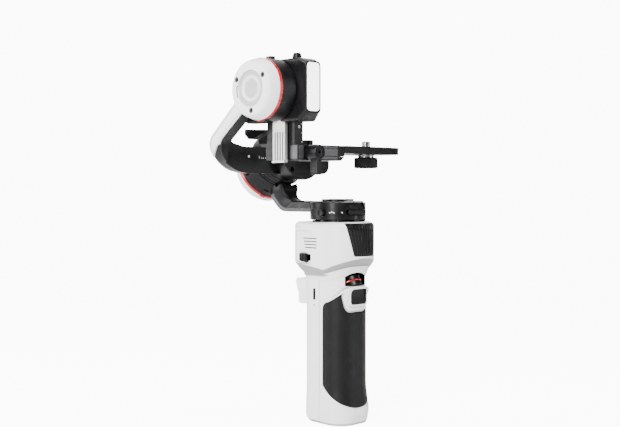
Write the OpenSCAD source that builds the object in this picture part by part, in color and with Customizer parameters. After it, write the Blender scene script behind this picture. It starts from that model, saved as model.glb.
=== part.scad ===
// Three-axis camera gimbal on a battery handle, with its own quick-release plate.
// Frame: +Z up, origin at the centre of the handle's bottom face, on the pan axis.
// The lens side faces -Y, and the tilt motor hangs on the -X side.
// The pan, roll and tilt axes cross in one point, the gimbal centre.

/* [Handle] */
// Width of the handle tube, side to side
handle_w = 34.4; // [33:0.2:36]
// Depth of the handle tube, front to back
handle_d = 40; // [38.5:0.5:41]
// Corner radius of the handle tube
handle_r = 13; // [11:0.5:14]
// Wall thickness of the plastic shells
wall = 2; // [1.8:0.1:2.2]
// Height at which the rubber grip starts, at the tip of its curve
grip_z0 = 11.8; // [10:0.2:14]
// Height of the top edge of the rubber grip
grip_z1 = 91; // [88:0.5:92]

/* [Head] */
// Width of the head, side to side
head_w = 42; // [40:0.5:43]
// Depth of the head, front to back
head_d = 48; // [46:0.5:50]
// Height where the handle tube ends and the head starts
head_z0 = 107.5; // [107:0.1:108]
// Height of the top of the head
head_z1 = 142.5; // [142:0.1:143]

/* [Pan motor] */
// Outer radius of the pan rotor
pan_r = 19.9; // [19:0.1:20.5]
// Height of the lower edge of the pan rotor
pan_z0 = 144; // [143.8:0.1:144.4]
// Height of the top of the pan rotor's wall
pan_z1 = 156.2; // [156:0.1:157]

/* [Roll motor and arm] */
// Height of the point where the three axes cross
centre_z = 231.6; // [230:0.2:233]
// Angle of the roll axis below the horizontal
roll_tilt = 35; // [34:0.5:36]
// Outer radius of the roll motor
roll_r = 20.5; // [20:0.1:21]
// Height of the lower edge of the roll arm's bar
bar_z0 = 177; // [176.5:0.1:177.5]
// Height of the bar
bar_h = 19; // [18.5:0.1:19]
// Free end of the roll arm's bar, measured from the pan axis
bar_end = 37.5; // [35:0.5:38]

/* [Tilt motor] */
// Outer radius of the tilt motor
tilt_r = 20.8; // [20:0.1:21]
// Outer end of the tilt motor's cap, measured from the pan axis
tilt_end = 89.5; // [88:0.5:91]

/* [Camera mount] */
// Height of the lower face of the camera base
base_z0 = 185.2; // [185:0.1:185.6]
// Thickness of the camera base
base_t = 10.5; // [10.4:0.1:11]
// Thickness of the quick-release plate
plate_t = 5.3; // [5:0.1:5.6]
// Length of the quick-release plate across the camera
plate_end = 46.1; // [44:0.5:48]

/* [Hidden] */
$fn = 64;

white = "whitesmoke";
black = "#202124";
red = "#c8202c";
steel = "silver";

gap = 0.2;            // clearance between parts that move past each other
run = 0.03;           // radial clearance of a shaft in its bearing
handle_y = 2;         // centre of the handle's section, behind the pan axis
seam_y = 1.6;         // seam between the front and rear handle shells
tripod_r = 3.175;     // nominal radius of a 1/4 inch thread
cell_r = 9.1;         // battery cell radius
cell_h = 65;          // battery cell height
bezel_w = 24;         // width of the trigger bezel
bezel_z = [79.6, 97];
dial_z = [97.7, 106.6];
dial_c = [0, -11.6, 98.6];
dial_r = 8.4;
dial_tilt = 25;       // the dial's axis leans back, in line with the head's slanted chin
wheel_c = [14, 5, 92];
head_y = 2;           // centre of the head's section
head_r = 9;
nose_y = -6;          // centre of the head's round front
nose_r = 21.4;
shaft_r = 4;          // radius of every motor shaft
bearing_r = 8;        // outer radius of every motor bearing

// Distances behind the gimbal centre, along the roll axis
roll_face = 70.3;
roll_rotor_z = [79, 82.4];
roll_housing_z = [82.7, 96];
roll_ring_z = [96, 98.2];
roll_cap_z = [98.2, 105.6];

// Front and rear face, and lower and upper edge, of the roll arm's bar
bar_y = [45, 53];
clamp_y = 35;         // front face of the clamp on the bar
clamp_key = [9, 40];  // pivot of the clamp's flip lever
bar_z = [bar_z0, bar_z0 + bar_h];
base_z = [base_z0, base_z0 + base_t];

// Distances from the pan axis towards -X, along the tilt axis
tilt_y = -5.5;        // the tilt axis runs a little in front of the pan axis
side_x = [-75, -66.9];
tilt_housing_z = [66.5, 79];
tilt_ring_z = [79, 81.6];
box_x = [-66.2, -49];
box_y = [-32, 31];
box_z = [210.6, 252.3];
panel_x = [-62.8, -51.6];
panel_z = [217.2, 249.1];
lever_x = -46.7;      // axis of the base's cam lever
lever_end = 183.4;    // lower end of the ribbed lever
rail_x = [-57.6, -49.8];
rail_y = [-15, 12.5];
stud_z = [196.2, 200.4];   // threaded end of the camera screw, above its relieved shank
latch_c = [12.7, 205];
latch_r = 1.4;

// ---------- shared shapes ----------

// Rounded rectangle, centred, from squares and circles so its corners stay true arcs
module rounded_rect(w, d, r) {
  square([w - 2 * r, d], center = true);
  square([w, d - 2 * r], center = true);
  for (sx = [-1, 1], sy = [-1, 1])
    translate([sx * (w / 2 - r), sy * (d / 2 - r)]) circle(r);
}

// Upright block with rounded vertical edges
module column(w, d, r, z0, z1, y = 0)
  translate([0, y, z0]) linear_extrude(z1 - z0) rounded_rect(w, d, r);

// Box between two corners, given as ranges
module slab(x, y, z)
  translate([x[0], y[0], z[0]]) cube([x[1] - x[0], y[1] - y[0], z[1] - z[0]]);

// Discs along each axis, from one distance to the next
module disc_z(z0, z1, r) translate([0, 0, z0]) cylinder(h = z1 - z0, r = r);
module disc_x(x0, x1, r) translate([x0, 0, 0]) rotate([0, 90, 0]) cylinder(h = x1 - x0, r = r);
module disc_y(y0, y1, r) translate([0, y0, 0]) rotate([-90, 0, 0]) cylinder(h = y1 - y0, r = r);

// Outline drawn in Y and Z, extruded along X
module side_profile(x0, x1) translate([x0, 0, 0]) rotate([90, 0, 90]) linear_extrude(x1 - x0) children();

// Outline drawn in X and Z, extruded along Y
module front_profile(y0, y1) translate([0, y1, 0]) rotate([90, 0, 0]) linear_extrude(y1 - y0) children();

// Frames of the roll and tilt axes: +Z runs out from the gimbal centre to each motor
module roll_frame() translate([0, 0, centre_z]) rotate([-90 - roll_tilt, 0, 0]) children();
module tilt_frame() translate([0, tilt_y, centre_z]) rotate([0, -90, 0]) children();

// Points of an arc, from angle a0 to a1
function arc(c, r, a0, a1, n = 8) =
  [for (i = [0:n]) let (a = a0 + (a1 - a0) * i / n) [c[0] + r * cos(a), c[1] + r * sin(a)]];

// Ring of wound iron teeth round a hub, the fixed half of each motor
module stator_core(r, r_in, h, teeth = 12) {
  difference() {
    cylinder(h = h, r = r * 0.72);
    translate([0, 0, -1]) cylinder(h = h + 2, r = r_in);
  }
  for (i = [0:teeth - 1]) rotate([0, 0, i * 360 / teeth]) {
    translate([r * 0.65, -0.9, 0.6]) cube([r * 0.3, 1.8, h - 1.2]);
    intersection() {
      translate([r * 0.9, -2.4, 0]) cube([r * 0.2, 4.8, h]);
      cylinder(h = h, r = r);
    }
  }
}

// Ball bearing drawn as two races and a ring of balls' cage
module bearing(h, r_in, r_out) {
  difference() {
    cylinder(h = h, r = r_out);
    translate([0, 0, -1]) cylinder(h = h + 2, r = r_in);
    for (z = [-1, h - 0.6]) translate([0, 0, z]) difference() {
      cylinder(h = 1.6, r = r_out - 1.2);
      translate([0, 0, -1]) cylinder(h = 4, r = r_in + 1.2);
    }
  }
}

// ---------- handle ----------

module handle_tube(grow, z0, z1)
  column(handle_w + 2 * grow, handle_d + 2 * grow, handle_r + grow, z0, z1, handle_y);

// Front outline of the grip: a curved lower end, and a notch for the trigger bezel
module grip_outline() {
  half = handle_w / 2 + 1.6;
  rise = 15.9;
  difference() {
    polygon(concat(
      [for (a = [180:12:360]) [half * cos(a), grip_z0 + rise * (1 + sin(a))]],
      [[half, grip_z1], [-half, grip_z1]]));
    translate([-bezel_w / 2 - 0.6, bezel_z[0] - 0.6]) square([bezel_w + 1.2, 40]);
  }
}

module grip_region(depth)
  difference() {
    front_profile(-30, -1.3) grip_outline();
    handle_tube(-depth, 0, 120);
  }

module bezel_outline()
  translate([0, (bezel_z[0] + bezel_z[1]) / 2])
    rounded_rect(bezel_w, bezel_z[1] - bezel_z[0], 4.5);

module dial_window() {
  slab([-10.3, 10.3], [-30, -6], dial_z);
  slab([-11.8, 11.8], [-30, -14.5], [bezel_z[1] - 1.3, dial_z[0] + 0.1]);
}

// Clear space round the dial's barrel
module dial_room() dial_frame() disc_z(-4.1, 4.1, dial_r + 0.6);

module base_cap() color(white) difference() {
  union() {
    hull() {
      column(handle_w - 1.6, handle_d - 1.6, handle_r - 0.8, 0, 0.1, handle_y, $fn = 32);
      column(handle_w, handle_d, handle_r, 0.8, 0.9, handle_y, $fn = 32);
    }
    handle_tube(0, 0.9, 5);
    handle_tube(-wall - gap / 2, 5, 7);
  }
  disc_z(-1, 8, 6);
}

module tripod_insert() color(steel) difference() {
  disc_z(0, 7, 6);
  disc_z(-1, 8, tripod_r);
}

module handle_front_shell() color(white) difference() {
  handle_tube(0, 5, head_z0);
  handle_tube(-wall, 4, head_z0 + 1);
  slab([-40, 40], [seam_y, 60], [0, 120]);
  grip_region(1.2);
  front_profile(-30, -10) bezel_outline();
  dial_window();
  translate([0, wheel_c[1], wheel_c[2]]) slab([14, 20], [-5.4, 5.4], [-5.7, 5.7]);
}

module handle_rear_shell() color(white) difference() {
  handle_tube(0, 5, head_z0);
  handle_tube(-wall, 4, head_z0 + 1);
  slab([-40, 40], [-60, seam_y], [0, 120]);
  slab([-30, -10], [5.9, 7.7], [87, 95.6]);
  slab([-11, 11], [15, 40], [84, 100.6]);
  translate([0, wheel_c[1], wheel_c[2]]) slab([14, 20], [-5.4, 5.4], [-5.7, 5.7]);
}

module rubber_grip() color("#1b1c1e") intersection() {
  grip_region(1.2);
  handle_tube(0.5, 5, 120);
}

module battery_cells() color("steelblue")
  for (a = [60, 240]) translate([cell_r * cos(a), handle_y + cell_r * sin(a), 0]) {
    disc_z(8, 8 + cell_h, cell_r - 0.05);
    disc_z(8 + cell_h, 9 + cell_h, 2.8);
  }

module main_board() color("darkgreen") {
  slab([-17, 17], [19.2, 20.4], [120, 138.5]);
  for (x = [-9, 0, 9]) slab([x - 2.6, x + 2.6], [17.8, 19.2], [126, 131]);
}

module usb_socket() color(steel) difference() {
  slab([-17.1, -10.5], [6, 7.6], [87.1, 95.5]);
  slab([-18, -12], [6.3, 7.3], [87.4, 95.2]);
}

module trigger_bezel() color(white) {
  difference() {
    union() {
      front_profile(-19.2, -14.6) bezel_outline();
      intersection() {
        translate([0, -8.6, 0]) disc_z(bezel_z[1] - 1.2, dial_z[0] - gap, 13.4);
        slab([-11.6, 11.6], [-30, -16.2], [0, 200]);
      }
    }
    slab([-7.7, 7.7], [-30, -10], [84.7, 95.4]);
    dial_room();
  }
}

module trigger_button() color(black) {
  front_profile(-20.5, -16) translate([0, 90.05]) rounded_rect(14.8, 10.1, 2);
  slab([-9.5, 9.5], [-14.4, -12.8], [84, 92.6]);
  slab([-7, 7], [-16, -14.4], [85.2, 92.6]);
}

module dial_frame() translate(dial_c) rotate([-dial_tilt, 0, 0]) children();

module dial_axle() color(steel) dial_frame() disc_z(-4.4, 5, 1.5);

module front_dial() color(black) dial_frame() difference() {
  disc_z(-3.6, 3.6, dial_r);
  disc_z(-9, 9, 1.5 + run);
  for (a = [0:12:348]) rotate([0, 0, a])
    translate([dial_r, 0, -9]) cylinder(h = 18, r = 0.4, $fn = 4);
}

module side_wheel() color(black) translate(wheel_c) difference() {
  disc_y(-5, 5, 5.4);
  for (a = [0:18:342]) rotate([0, a, 0]) translate([5.4, 0, 0]) disc_y(-6, 6, 0.4, $fn = 4);
}

// Two-lobed housing of the rear controls, flush against the tube, plugged into its opening
module control_block() color(white) difference() {
  side_profile(-13, 13) polygon(concat(
    [[16, 83.2], [24.5, 83.2]],
    arc([24.5, 85.7], 2.5, -90, 0, 4), [[27, 91]],
    [[28.4, 94.4]], arc([27, 99], 2.6, 0, 90, 4), [[16, 101.6]]));
  difference() {
    handle_tube(0, 80, 105);
    slab([-10.9, 10.9], [20.6, 40], [84.1, 100.5]);
  }
  disc_at_stick(-10, 40, 3.4);
  disc_at_stick(20, 26, 6);
  for (x = [-6, 6]) translate([x, 0, 87.6]) disc_y(10, 40, 3.2);
  slab([-10, 10], [10, 22.6], [84, 92]);
  slab([-9, 9], [10, 26], [93, 99.6]);
}

module disc_at_stick(y0, y1, r) translate([0, 0, 96.3]) disc_y(y0, y1, r);

module joystick() color(black) {
  disc_at_stick(19.4, 30.6, 1.6);
  disc_at_stick(30.6, 32.2, 4.2);
}

module joystick_rocker() color(steel) difference() {
  disc_at_stick(17.4, 19.2, 4);
  disc_at_stick(10, 18.4, 2.4);
}

module button_cap(x) translate([x, 0, 87.6]) {
  disc_y(22.4, 28, 3);
  disc_y(21.6, 22.4, 3.4);
}

module record_button() color(red) button_cap(-6);

module mode_button() color(black) button_cap(6);

// ---------- head ----------

module head_column(grow, z0, z1) translate([0, 0, z0]) linear_extrude(z1 - z0) hull() {
  translate([0, nose_y]) circle(nose_r + grow);
  for (side = [-1, 1])
    translate([side * (head_w / 2 - head_r), head_y + head_d / 2 - head_r]) circle(head_r + grow);
}

// Side outline above the lower border, a shallow V with its tip near the front
module above_border(drop = 0) side_profile(-40, 40)
  polygon([[-40, 117.3 - drop], [-27.4, 117.3 - drop], [-6, 108.9 - drop], [26, 114 - drop],
    [40, 114 - drop], [40, 200], [-40, 200]]);

module grille_outline(inset = 0)
  polygon([[-9.5 + inset, 119 + inset], [9.5 - inset, 119 + inset],
    [14.6 - inset, 141.4 - inset], [-14.6 + inset, 141.4 - inset]]);

module head_shell() color(white) difference() {
  union() {
    intersection() {
      head_column(0, head_z0, head_z1 - 2);
      above_border();
    }
    hull() {
      head_column(0, head_z1 - 2.1, head_z1 - 2);
      head_column(-1.6, head_z1 - 0.1, head_z1);
    }
  }
  head_column(-wall, 100, head_z1 - 3);
  disc_z(100, 200, 5);
  front_profile(-40, -10) grille_outline();
  slab([-15, 15], [24.4, 40], [119, 138]);
  slab([-12.2, 12.2], [20, 40], [120.8, 136.2]);
  slab([-30, -15], [6.6, 17.2], [113.6, 120.4]);
  for (i = [0:3]) slab([-30, -20.6], [0.5, 12.5 + 0.6 * i], [123.8 + 2.2 * i, 124.6 + 2.2 * i]);
}

module head_floor() color("#a9a9a6") difference() {
  hull() {
    handle_tube(0, head_z0, head_z0 + 0.1, $fn = 32);
    head_column(-0.4, 116.9, 117, $fn = 32);
  }
  hull() {
    handle_tube(-wall, head_z0 - 1, head_z0, $fn = 32);
    head_column(-wall - 0.4, 117, 118, $fn = 32);
  }
  above_border();
}

module vent_grille() color("#151517") difference() {
  intersection() {
    head_column(0.5, 110, 150);
    front_profile(-40, -17) grille_outline(0.1);
  }
  head_column(-1.8, 100, 200);
  difference() {
    for (i = [-5:5]) translate([2.44 * i, 0, 0]) rotate([0, -1.4 * i, 0])
      slab([-0.6, 0.6], [-30, nose_y], [120, 140]);
    head_column(-0.4, 110, 150);
  }
}

module display_panel() color("#101114") {
  slab([-14.8, 14.8], [24.6, 25.8], [119.2, 137.8]);
  slab([-12, 12], [20.6, 24.6], [121, 136]);
}

module power_switch() color(black) {
  side_profile(-22.2, -20.4) polygon([[10.4, 114], [17, 114.8], [17, 120], [10.9, 120]]);
  slab([-20.4, -18], [10, 17], [114.2, 119.8]);
}

// ---------- motors ----------

// Iron core of a motor, standing round its bearing
module motor_core(z0, z1) translate([0, 0, z0]) stator_core(14.2, bearing_r, z1 - z0);

module motor_bearing(z0, z1) translate([0, 0, z0]) bearing(z1 - z0, shaft_r + run, bearing_r);

// Motor case: open towards the rotor, with a floor at its outer end
module motor_case(z, r) difference() {
  disc_z(z[0], z[1], r);
  disc_z(z[0] - 1, z[1] - 2, 17.4);
  disc_z(z[0], z[1] + 1, 5);
}

// Shaft with the magnet skirt that turns round the core
module motor_shaft(z_disc, z0, z1) {
  disc_z(z0, z1, shaft_r);
  disc_z(z_disc, z_disc + 1.2, 16.8);
  difference() {
    disc_z(z_disc, z1 - 1.5, 16.8);
    disc_z(z_disc - 1, z1, 14.6);
  }
}

module motor_ring(z, r) difference() {
  disc_z(z[0], z[1], r);
  disc_z(z[0] - 1, z[1] + 1, r - 3);
}

// Turned cap with a domed shoulder and a shallow ring-shaped recess in its face
module motor_cap(z, r, face_r, recess) {
  t = z[1];
  rotate_extrude() polygon(concat(
    [[r - 2.2, z[0]], [r, z[0]]],
    [for (a = [0:15:75]) [face_r - 1 + (r - face_r + 1) * cos(a),
                          z[0] + 0.6 + (t - z[0] - 0.6) * sin(a)]],
    [[face_r - 1, t], [recess[1] + 0.4, t], [recess[1], t - 0.8], [recess[0], t - 0.8],
     [recess[0] - 0.4, t - 0.2], [0, t - 0.2], [0, t - 2.4], [face_r - 2, t - 2.4],
     [r - 2.2, z[0] + 2]]));
}

// ---------- pan motor and pan arm ----------

module pan_stator() color(black) {
  difference() {
    union() {
      disc_z(head_z1, 143.8, 16.2);
      for (a = [-130, -50, 90]) rotate([0, 0, a]) slab([14, 19], [-2.6, 2.6], [head_z1, 143.8]);
    }
    disc_z(100, 200, 5);
  }
  motor_core(143.8, 152.6);
}

module pan_bearing() color(steel) motor_bearing(145.4, 151.4);

module pan_rotor() color(black) {
  difference() {
    disc_z(pan_z0, pan_z1, pan_r);
    disc_z(pan_z0 - 1, pan_z1 - 2.2, 16.6);
    front_profile(-30, -16.7) polygon([[-10.1, 147], [10.1, 147], [10.1, 151.4],
      [5.75, 156.9], [-5.75, 156.9], [-10.1, 151.4]]);
    slab([-30, -18.2], [-6.3, 8.7], [146.2, 151.7]);
  }
  disc_z(144.6, pan_z1 - 2, shaft_r);
}

module pan_magnets() color("dimgray") for (i = [0:13]) rotate([0, 0, i * 360 / 14])
  intersection() {
    difference() {
      disc_z(145, 152.4, 16.6);
      disc_z(144, 153, 14.6);
    }
    slab([0, 20], [-3, 3], [140, 160]);
  }

module pan_cover() color(black) {
  disc_z(pan_z1, 157.6, 13.6);
  for (a = [20, 200]) rotate([0, 0, a]) intersection() {
    disc_z(157.6, 158.6, 12.4);
    slab([1, 13], [-9, 9], [150, 160]);
  }
}

module pan_lock() color(black) {
  slab([-21.9, -18.4], [-3.4, 3.4], [146.4, 151.5]);
  for (y = [-3.4, 3.4]) translate([-18.4, y, 148.95]) rotate([0, -90, 0]) cylinder(h = 3.5, r = 2.55);
}

module pan_lever() color(black) {
  slab([-7.6, 7.6], [-19.4, -17.2], [148, 151]);
  for (x = [-7.6, 7.6]) translate([x, -18.3, 148]) cylinder(h = 3, r = 1.1);
}

// Keep-out round the roll motor, for everything on the pan arm
module roll_motor_room() roll_frame() {
  disc_z(60, 82.55, 23);
  disc_z(82, roll_housing_z[1], roll_r);
  disc_z(roll_ring_z[0], 120, roll_r + 0.6);
}

module pan_arm() color(black) difference() {
  union() {
    side_profile(-6.5, 6.5) polygon(concat(
      [[14.2, 157], [14.2, pan_z1], [19, pan_z1], [19, 149]],
      arc([50, 162.5], 13.5, -90, -30, 6), [[48.6, 157]]));
    side_profile(-5.5, 5.5) polygon(concat(
      [[40, 149]], arc([50, 162.5], 13.5, -90, 0, 8), [[63.5, 178], [54.5, 175], [48.6, 166.5]],
      arc([39.1, 166.5], 9.5, 0, -90, 6)));
    hull() {
      slab([-5.5, 5.5], [51, 63], [162, 163]);
      slab([-11, 11], [57, 65], [171, 172]);
    }
  }
  disc_z(140, pan_z1, pan_r);
  roll_motor_room();
}

// ---------- roll motor ----------

module roll_housing() color(black) roll_frame() difference() {
  motor_case(roll_housing_z, roll_r);
  slab([-30, -18.6], [-3.3, 3.3], [85.4, 94.2]);
}

module roll_ring() color(red) roll_frame() motor_ring(roll_ring_z, roll_r + 0.5);

module roll_cap() color(white) roll_frame() motor_cap(roll_cap_z, roll_r + 0.2, 15.4, [7, 10]);

module roll_stator() color("peru") roll_frame() motor_core(85, roll_housing_z[1] - 2);

module roll_bearing() color(steel) roll_frame() motor_bearing(86, 92.5);

module roll_lock() color(black) roll_frame()
  slab([-22, -18.8], [-3, 3], [87.2, 93.8]);

module roll_rotor() color(black) roll_frame() {
  disc_z(roll_rotor_z[0], roll_rotor_z[1], roll_r);
  motor_shaft(roll_rotor_z[1], roll_rotor_z[1], 93.4);
}

// Clear passage for the bar of the roll arm
module bar_channel()
  slab([-60, 60], [bar_y[0] - 0.15, bar_y[1] + 0.15], [bar_z[0] - 0.15, bar_z[1] + 0.15]);

module roll_clamp() color(black) difference() {
  union() {
    roll_frame() disc_z(roll_face, roll_rotor_z[0], 21.6);
    difference() {
      intersection() {
        slab([-18.9, 18.9], [clamp_y, 66], [170, 199]);
        translate([0, 0, 194]) disc_y(clamp_y, 66, 21.6);
      }
      roll_frame() disc_z(roll_rotor_z[0], 140, 60);
    }
  }
  bar_channel();
  for (x = [-11.5, 11.5]) translate([x, 0, 180]) disc_y(clamp_y - 1, clamp_y + 3, 1.9);
  translate(clamp_key) disc_z(190, 202, 2 + run);
}

module roll_clamp_lever() color(black) translate(clamp_key) {
  disc_z(191, 199.2, 2);
  disc_z(199.2, 202, 4);
  slab([-22, 0], [-2.6, 2.6], [199.2, 201.6]);
}

// ---------- roll arm and tilt motor ----------

// Side outline of the arm's upright: up and forward from the bar to the tilt motor
module arm_outline() polygon(concat(
  [[2, 228.6], [22.8, 212], [38.5, 199.5], [43.5, 193.5], [bar_y[0], 188], [bar_y[0], bar_z[0]],
    [bar_y[1], bar_z[0]]],
  arc([40, 194.5], 13, 0, 50.3, 8), [[8, 240.3]]));

// Front outline of the arm, with the outer curve from the upright down to the bar
module arm_front() polygon([[-75, 260], [-75, 199], [-74, 194], [-70.3, 187.7], [-65.2, 183.2],
  [-57.9, 179.4], [-51, 177.5], [-45, bar_z[0]], [60, bar_z[0]], [60, 260]]);

module roll_arm() color(black) difference() {
  intersection() {
    union() {
      slab([side_x[0], bar_end - 8], bar_y, [bar_z[0], bar_z[1] - 6]);
      slab([side_x[0] + 16, bar_end], bar_y, [bar_z[0] + 8, bar_z[1]]);
      translate([bar_end - 8, 0, bar_z[0] + 8]) disc_y(bar_y[0], bar_y[1], 8);
      side_profile(side_x[0], side_x[1]) arm_outline();
    }
    front_profile(-40, 80) arm_front();
  }
  rear_chamfer();
  tilt_frame() disc_z(50, 100, tilt_r);
  slab([side_x[0] + 40, bar_end + 1], [bar_y[0] - 1, bar_y[0] + 1], [187, 200]);
}

module rear_chamfer() translate([-80, bar_y[1], bar_z[0]]) rotate([45, 0, 0])
  translate([0, -2.1, -2.1]) cube([160, 4.2, 4.2]);

module arm_trim() color(white) difference() {
  intersection() {
    front_profile(-14, 60) intersection() {
      difference() {
        offset(delta = 1.3) arm_front();
        arm_front();
      }
      translate([-90, 183]) square([24, 70]);
    }
    side_profile(-80, -60) offset(delta = -0.9) arm_outline();
  }
  tilt_frame() disc_z(50, 100, tilt_r + 0.3);
}

module tilt_housing() color(black) difference() {
  tilt_frame() motor_case(tilt_housing_z, tilt_r);
  slab([-75.2, -68.6], [tilt_y - 2.7, tilt_y + 2.7], [centre_z + 18.6, 260]);
}

module tilt_ring() color(red) tilt_frame() motor_ring(tilt_ring_z, tilt_r);

module tilt_cap() color(white) difference() {
  tilt_frame() motor_cap([tilt_ring_z[1], tilt_end], tilt_r - 0.4, 17.4, [9, 12]);
  cap_screw_places() disc_z(80, 100, 1.5);
}

module cap_screw_places()
  for (a = [64, 184, 304]) tilt_frame() rotate([0, 0, a]) translate([14.6, 0, 0]) children();

module cap_screws() color(steel) cap_screw_places() difference() {
  disc_z(tilt_end - 2.4, tilt_end - 0.2, 1.45);
  disc_z(tilt_end - 1.2, tilt_end + 1, 0.75, $fn = 6);
}

module tilt_stator() color("peru") tilt_frame() motor_core(68.8, tilt_housing_z[1] - 2);

module tilt_bearing() color(steel) tilt_frame() motor_bearing(69.4, 75.4);

module tilt_lock() color(black) translate([0, tilt_y, centre_z])
  slab([-73, -68.9], [-2.5, 2.5], [18.8, 22.4]);

module tilt_shaft() color(steel) tilt_frame() {
  disc_z(66.2, 67, 12);
  motor_shaft(67, 66.5, 76.4);
}

// ---------- camera mount ----------

module light_box() color(black) difference() {
  hull() {
    slab(box_x, [-25, 26], box_z);
    slab([-64.9, -50.4], [box_y[0], box_y[1]], [box_z[0] + 3, box_z[1] - 3]);
  }
  slab([panel_x[0] - 0.1, panel_x[1] + 0.1], [box_y[0] - 1, box_y[0] + 1.4],
    [panel_z[0] - 0.1, panel_z[1] + 0.1]);
  slab([-57.8, -40], [rail_y[0] - gap, rail_y[1] + gap], [200, 260]);
  slab([-57.8, -40], [rail_y[1], 40], [200, 230]);
  slab([-66.3, -57.8], [-9.2, 3.7], [200, 216.8]);
  translate([-59.5, -19, 0]) {
    disc_z(240, 260, 1.3 + run);
    disc_z(249.4, 260, 3.4);
  }
}

module light_panel() color("white")
  slab(panel_x, [box_y[0] - 0.3, box_y[0] + 1.3], panel_z);

module tilt_rail() color(black) difference() {
  slab(rail_x, rail_y, [base_z[1], 240]);
  translate([0, latch_c[0], latch_c[1]]) disc_x(-60, -40, latch_r + run);
}

// Ribbed lever that hangs beside the rail
module rail_lever() color(steel) difference() {
  union() {
    slab([-60.9, -58.3], [-8.6, 3.1], [lever_end + 1.2, 213.6]);
    translate([-59.6, 0, 213.6]) disc_y(-8.6, 3.1, 1.3);
    slab([-61.6, -58.3], [-8.6, 3.1], [lever_end, lever_end + 1.2]);
  }
  for (i = [0:3]) slab([-62, -60.3], [-7.3 + 2.6 * i, -6 + 2.6 * i], [lever_end + 1.4, 204]);
}

module rail_knob() color(black) translate([-59.5, -19, 0]) {
  disc_z(243, 249.6, 1.3);
  translate([0, 0, 249.6]) cylinder(h = 2.4, r1 = 1.3, r2 = 2.2);
  translate([0, 0, 253.4]) sphere(r = 3);
}

// Rear latch of the rail, on a barrel that turns in a groove of the rail
module latch_lever() color(black) {
  translate([0, latch_c[0], latch_c[1]]) disc_x(-57, -50.4, latch_r);
  translate([0, rail_y[1], 0]) side_profile(-57, -50.4)
    polygon([[0.9, 206.4], [23.5, 207.4], [23.5, 204], [20, 200.4], [15, 200.4], [8, 203.2],
      [0.9, 203.8]]);
}

module camera_base() color(black) difference() {
  union() {
    slab([-57.6, -40.3], [-18, 14], base_z);
    slab([-40.3, -12.2], [-17.5, 14], base_z);
  }
  slab([-34.3, -10], [-30, 30], [188.1, 193.8]);
  translate([lever_x, 0, 190.4]) disc_y(-19, -6, 2 + run);
}

module base_lever() color(black) {
  translate([lever_x, 0, 190.4]) {
    disc_y(-18.2, -7, 2);
    disc_y(-28, -18.2, 5);
  }
  slab([lever_x - 2.1, lever_x + 2.1], [-27.3, -20.9], [175.1, 186.4]);
}

module camera_plate() color(black) difference() {
  union() {
    slab([-34, -11.9], [-17.5, 17.5], [188.3, 193.6]);
    front_profile(-17.5, 17.5) polygon([[-12, 190.6], [plate_end, 190.6],
      [plate_end, 190.6 + plate_t], [-9.9, 190.6 + plate_t], [-12, 193]]);
  }
  translate([27.7, -2, 0]) disc_z(180, 200, tripod_r + 0.1);
}

module camera_screw() color(black) translate([27.7, -2, 0]) {
  difference() {
    disc_z(180.8, 188.6, 8.7);
    for (a = [0:12:348]) rotate([0, 0, a])
      translate([8.7, 0, 182]) cylinder(h = 5.4, r = 0.4, $fn = 4);
  }
  disc_z(188.6, 190.5, 5.8);
  disc_z(190.5, stud_z[0], 2.9);
  disc_z(stud_z[0], stud_z[1], tripod_r);
}

base_cap();
tripod_insert();
handle_front_shell();
handle_rear_shell();
rubber_grip();
battery_cells();
main_board();
usb_socket();
trigger_bezel();
trigger_button();
dial_axle();
front_dial();
side_wheel();
control_block();
joystick();
record_button();
mode_button();
head_shell();
head_floor();
vent_grille();
display_panel();
power_switch();
pan_stator();
pan_bearing();
pan_rotor();
pan_cover();
pan_magnets();
pan_lock();
pan_lever();
pan_arm();
roll_housing();
roll_ring();
roll_cap();
roll_stator();
roll_bearing();
roll_lock();
roll_rotor();
roll_clamp();
roll_clamp_lever();
roll_arm();
arm_trim();
tilt_housing();
tilt_ring();
tilt_cap();
cap_screws();
tilt_stator();
tilt_bearing();
tilt_lock();
light_box();
light_panel();
tilt_shaft();
tilt_rail();
rail_lever();
rail_knob();
latch_lever();
camera_base();
base_lever();
camera_plate();
joystick_rocker();
camera_screw();
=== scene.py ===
"""Looks of a three-axis camera gimbal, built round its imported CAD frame.

Every length below is in millimetres and becomes metres when a mesh is made.
The lens side faces -Y, the tilt motor is on the -X side, and +Z is up.
"""
import math

import bmesh
import bpy
from mathutils import Matrix, Vector


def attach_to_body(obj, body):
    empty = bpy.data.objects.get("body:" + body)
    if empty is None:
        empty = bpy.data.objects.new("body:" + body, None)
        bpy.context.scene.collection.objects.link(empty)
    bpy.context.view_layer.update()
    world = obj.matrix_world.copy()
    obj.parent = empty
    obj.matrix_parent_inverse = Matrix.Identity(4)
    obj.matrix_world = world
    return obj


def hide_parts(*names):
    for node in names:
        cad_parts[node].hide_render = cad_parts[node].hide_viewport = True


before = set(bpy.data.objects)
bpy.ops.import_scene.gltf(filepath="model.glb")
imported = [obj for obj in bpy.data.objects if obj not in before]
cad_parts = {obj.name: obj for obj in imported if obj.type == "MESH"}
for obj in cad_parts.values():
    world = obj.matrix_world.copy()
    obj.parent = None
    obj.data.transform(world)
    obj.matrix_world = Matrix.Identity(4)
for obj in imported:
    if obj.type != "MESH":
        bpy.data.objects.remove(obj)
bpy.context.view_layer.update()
MM = 0.001


# ---------- materials ----------

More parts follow.
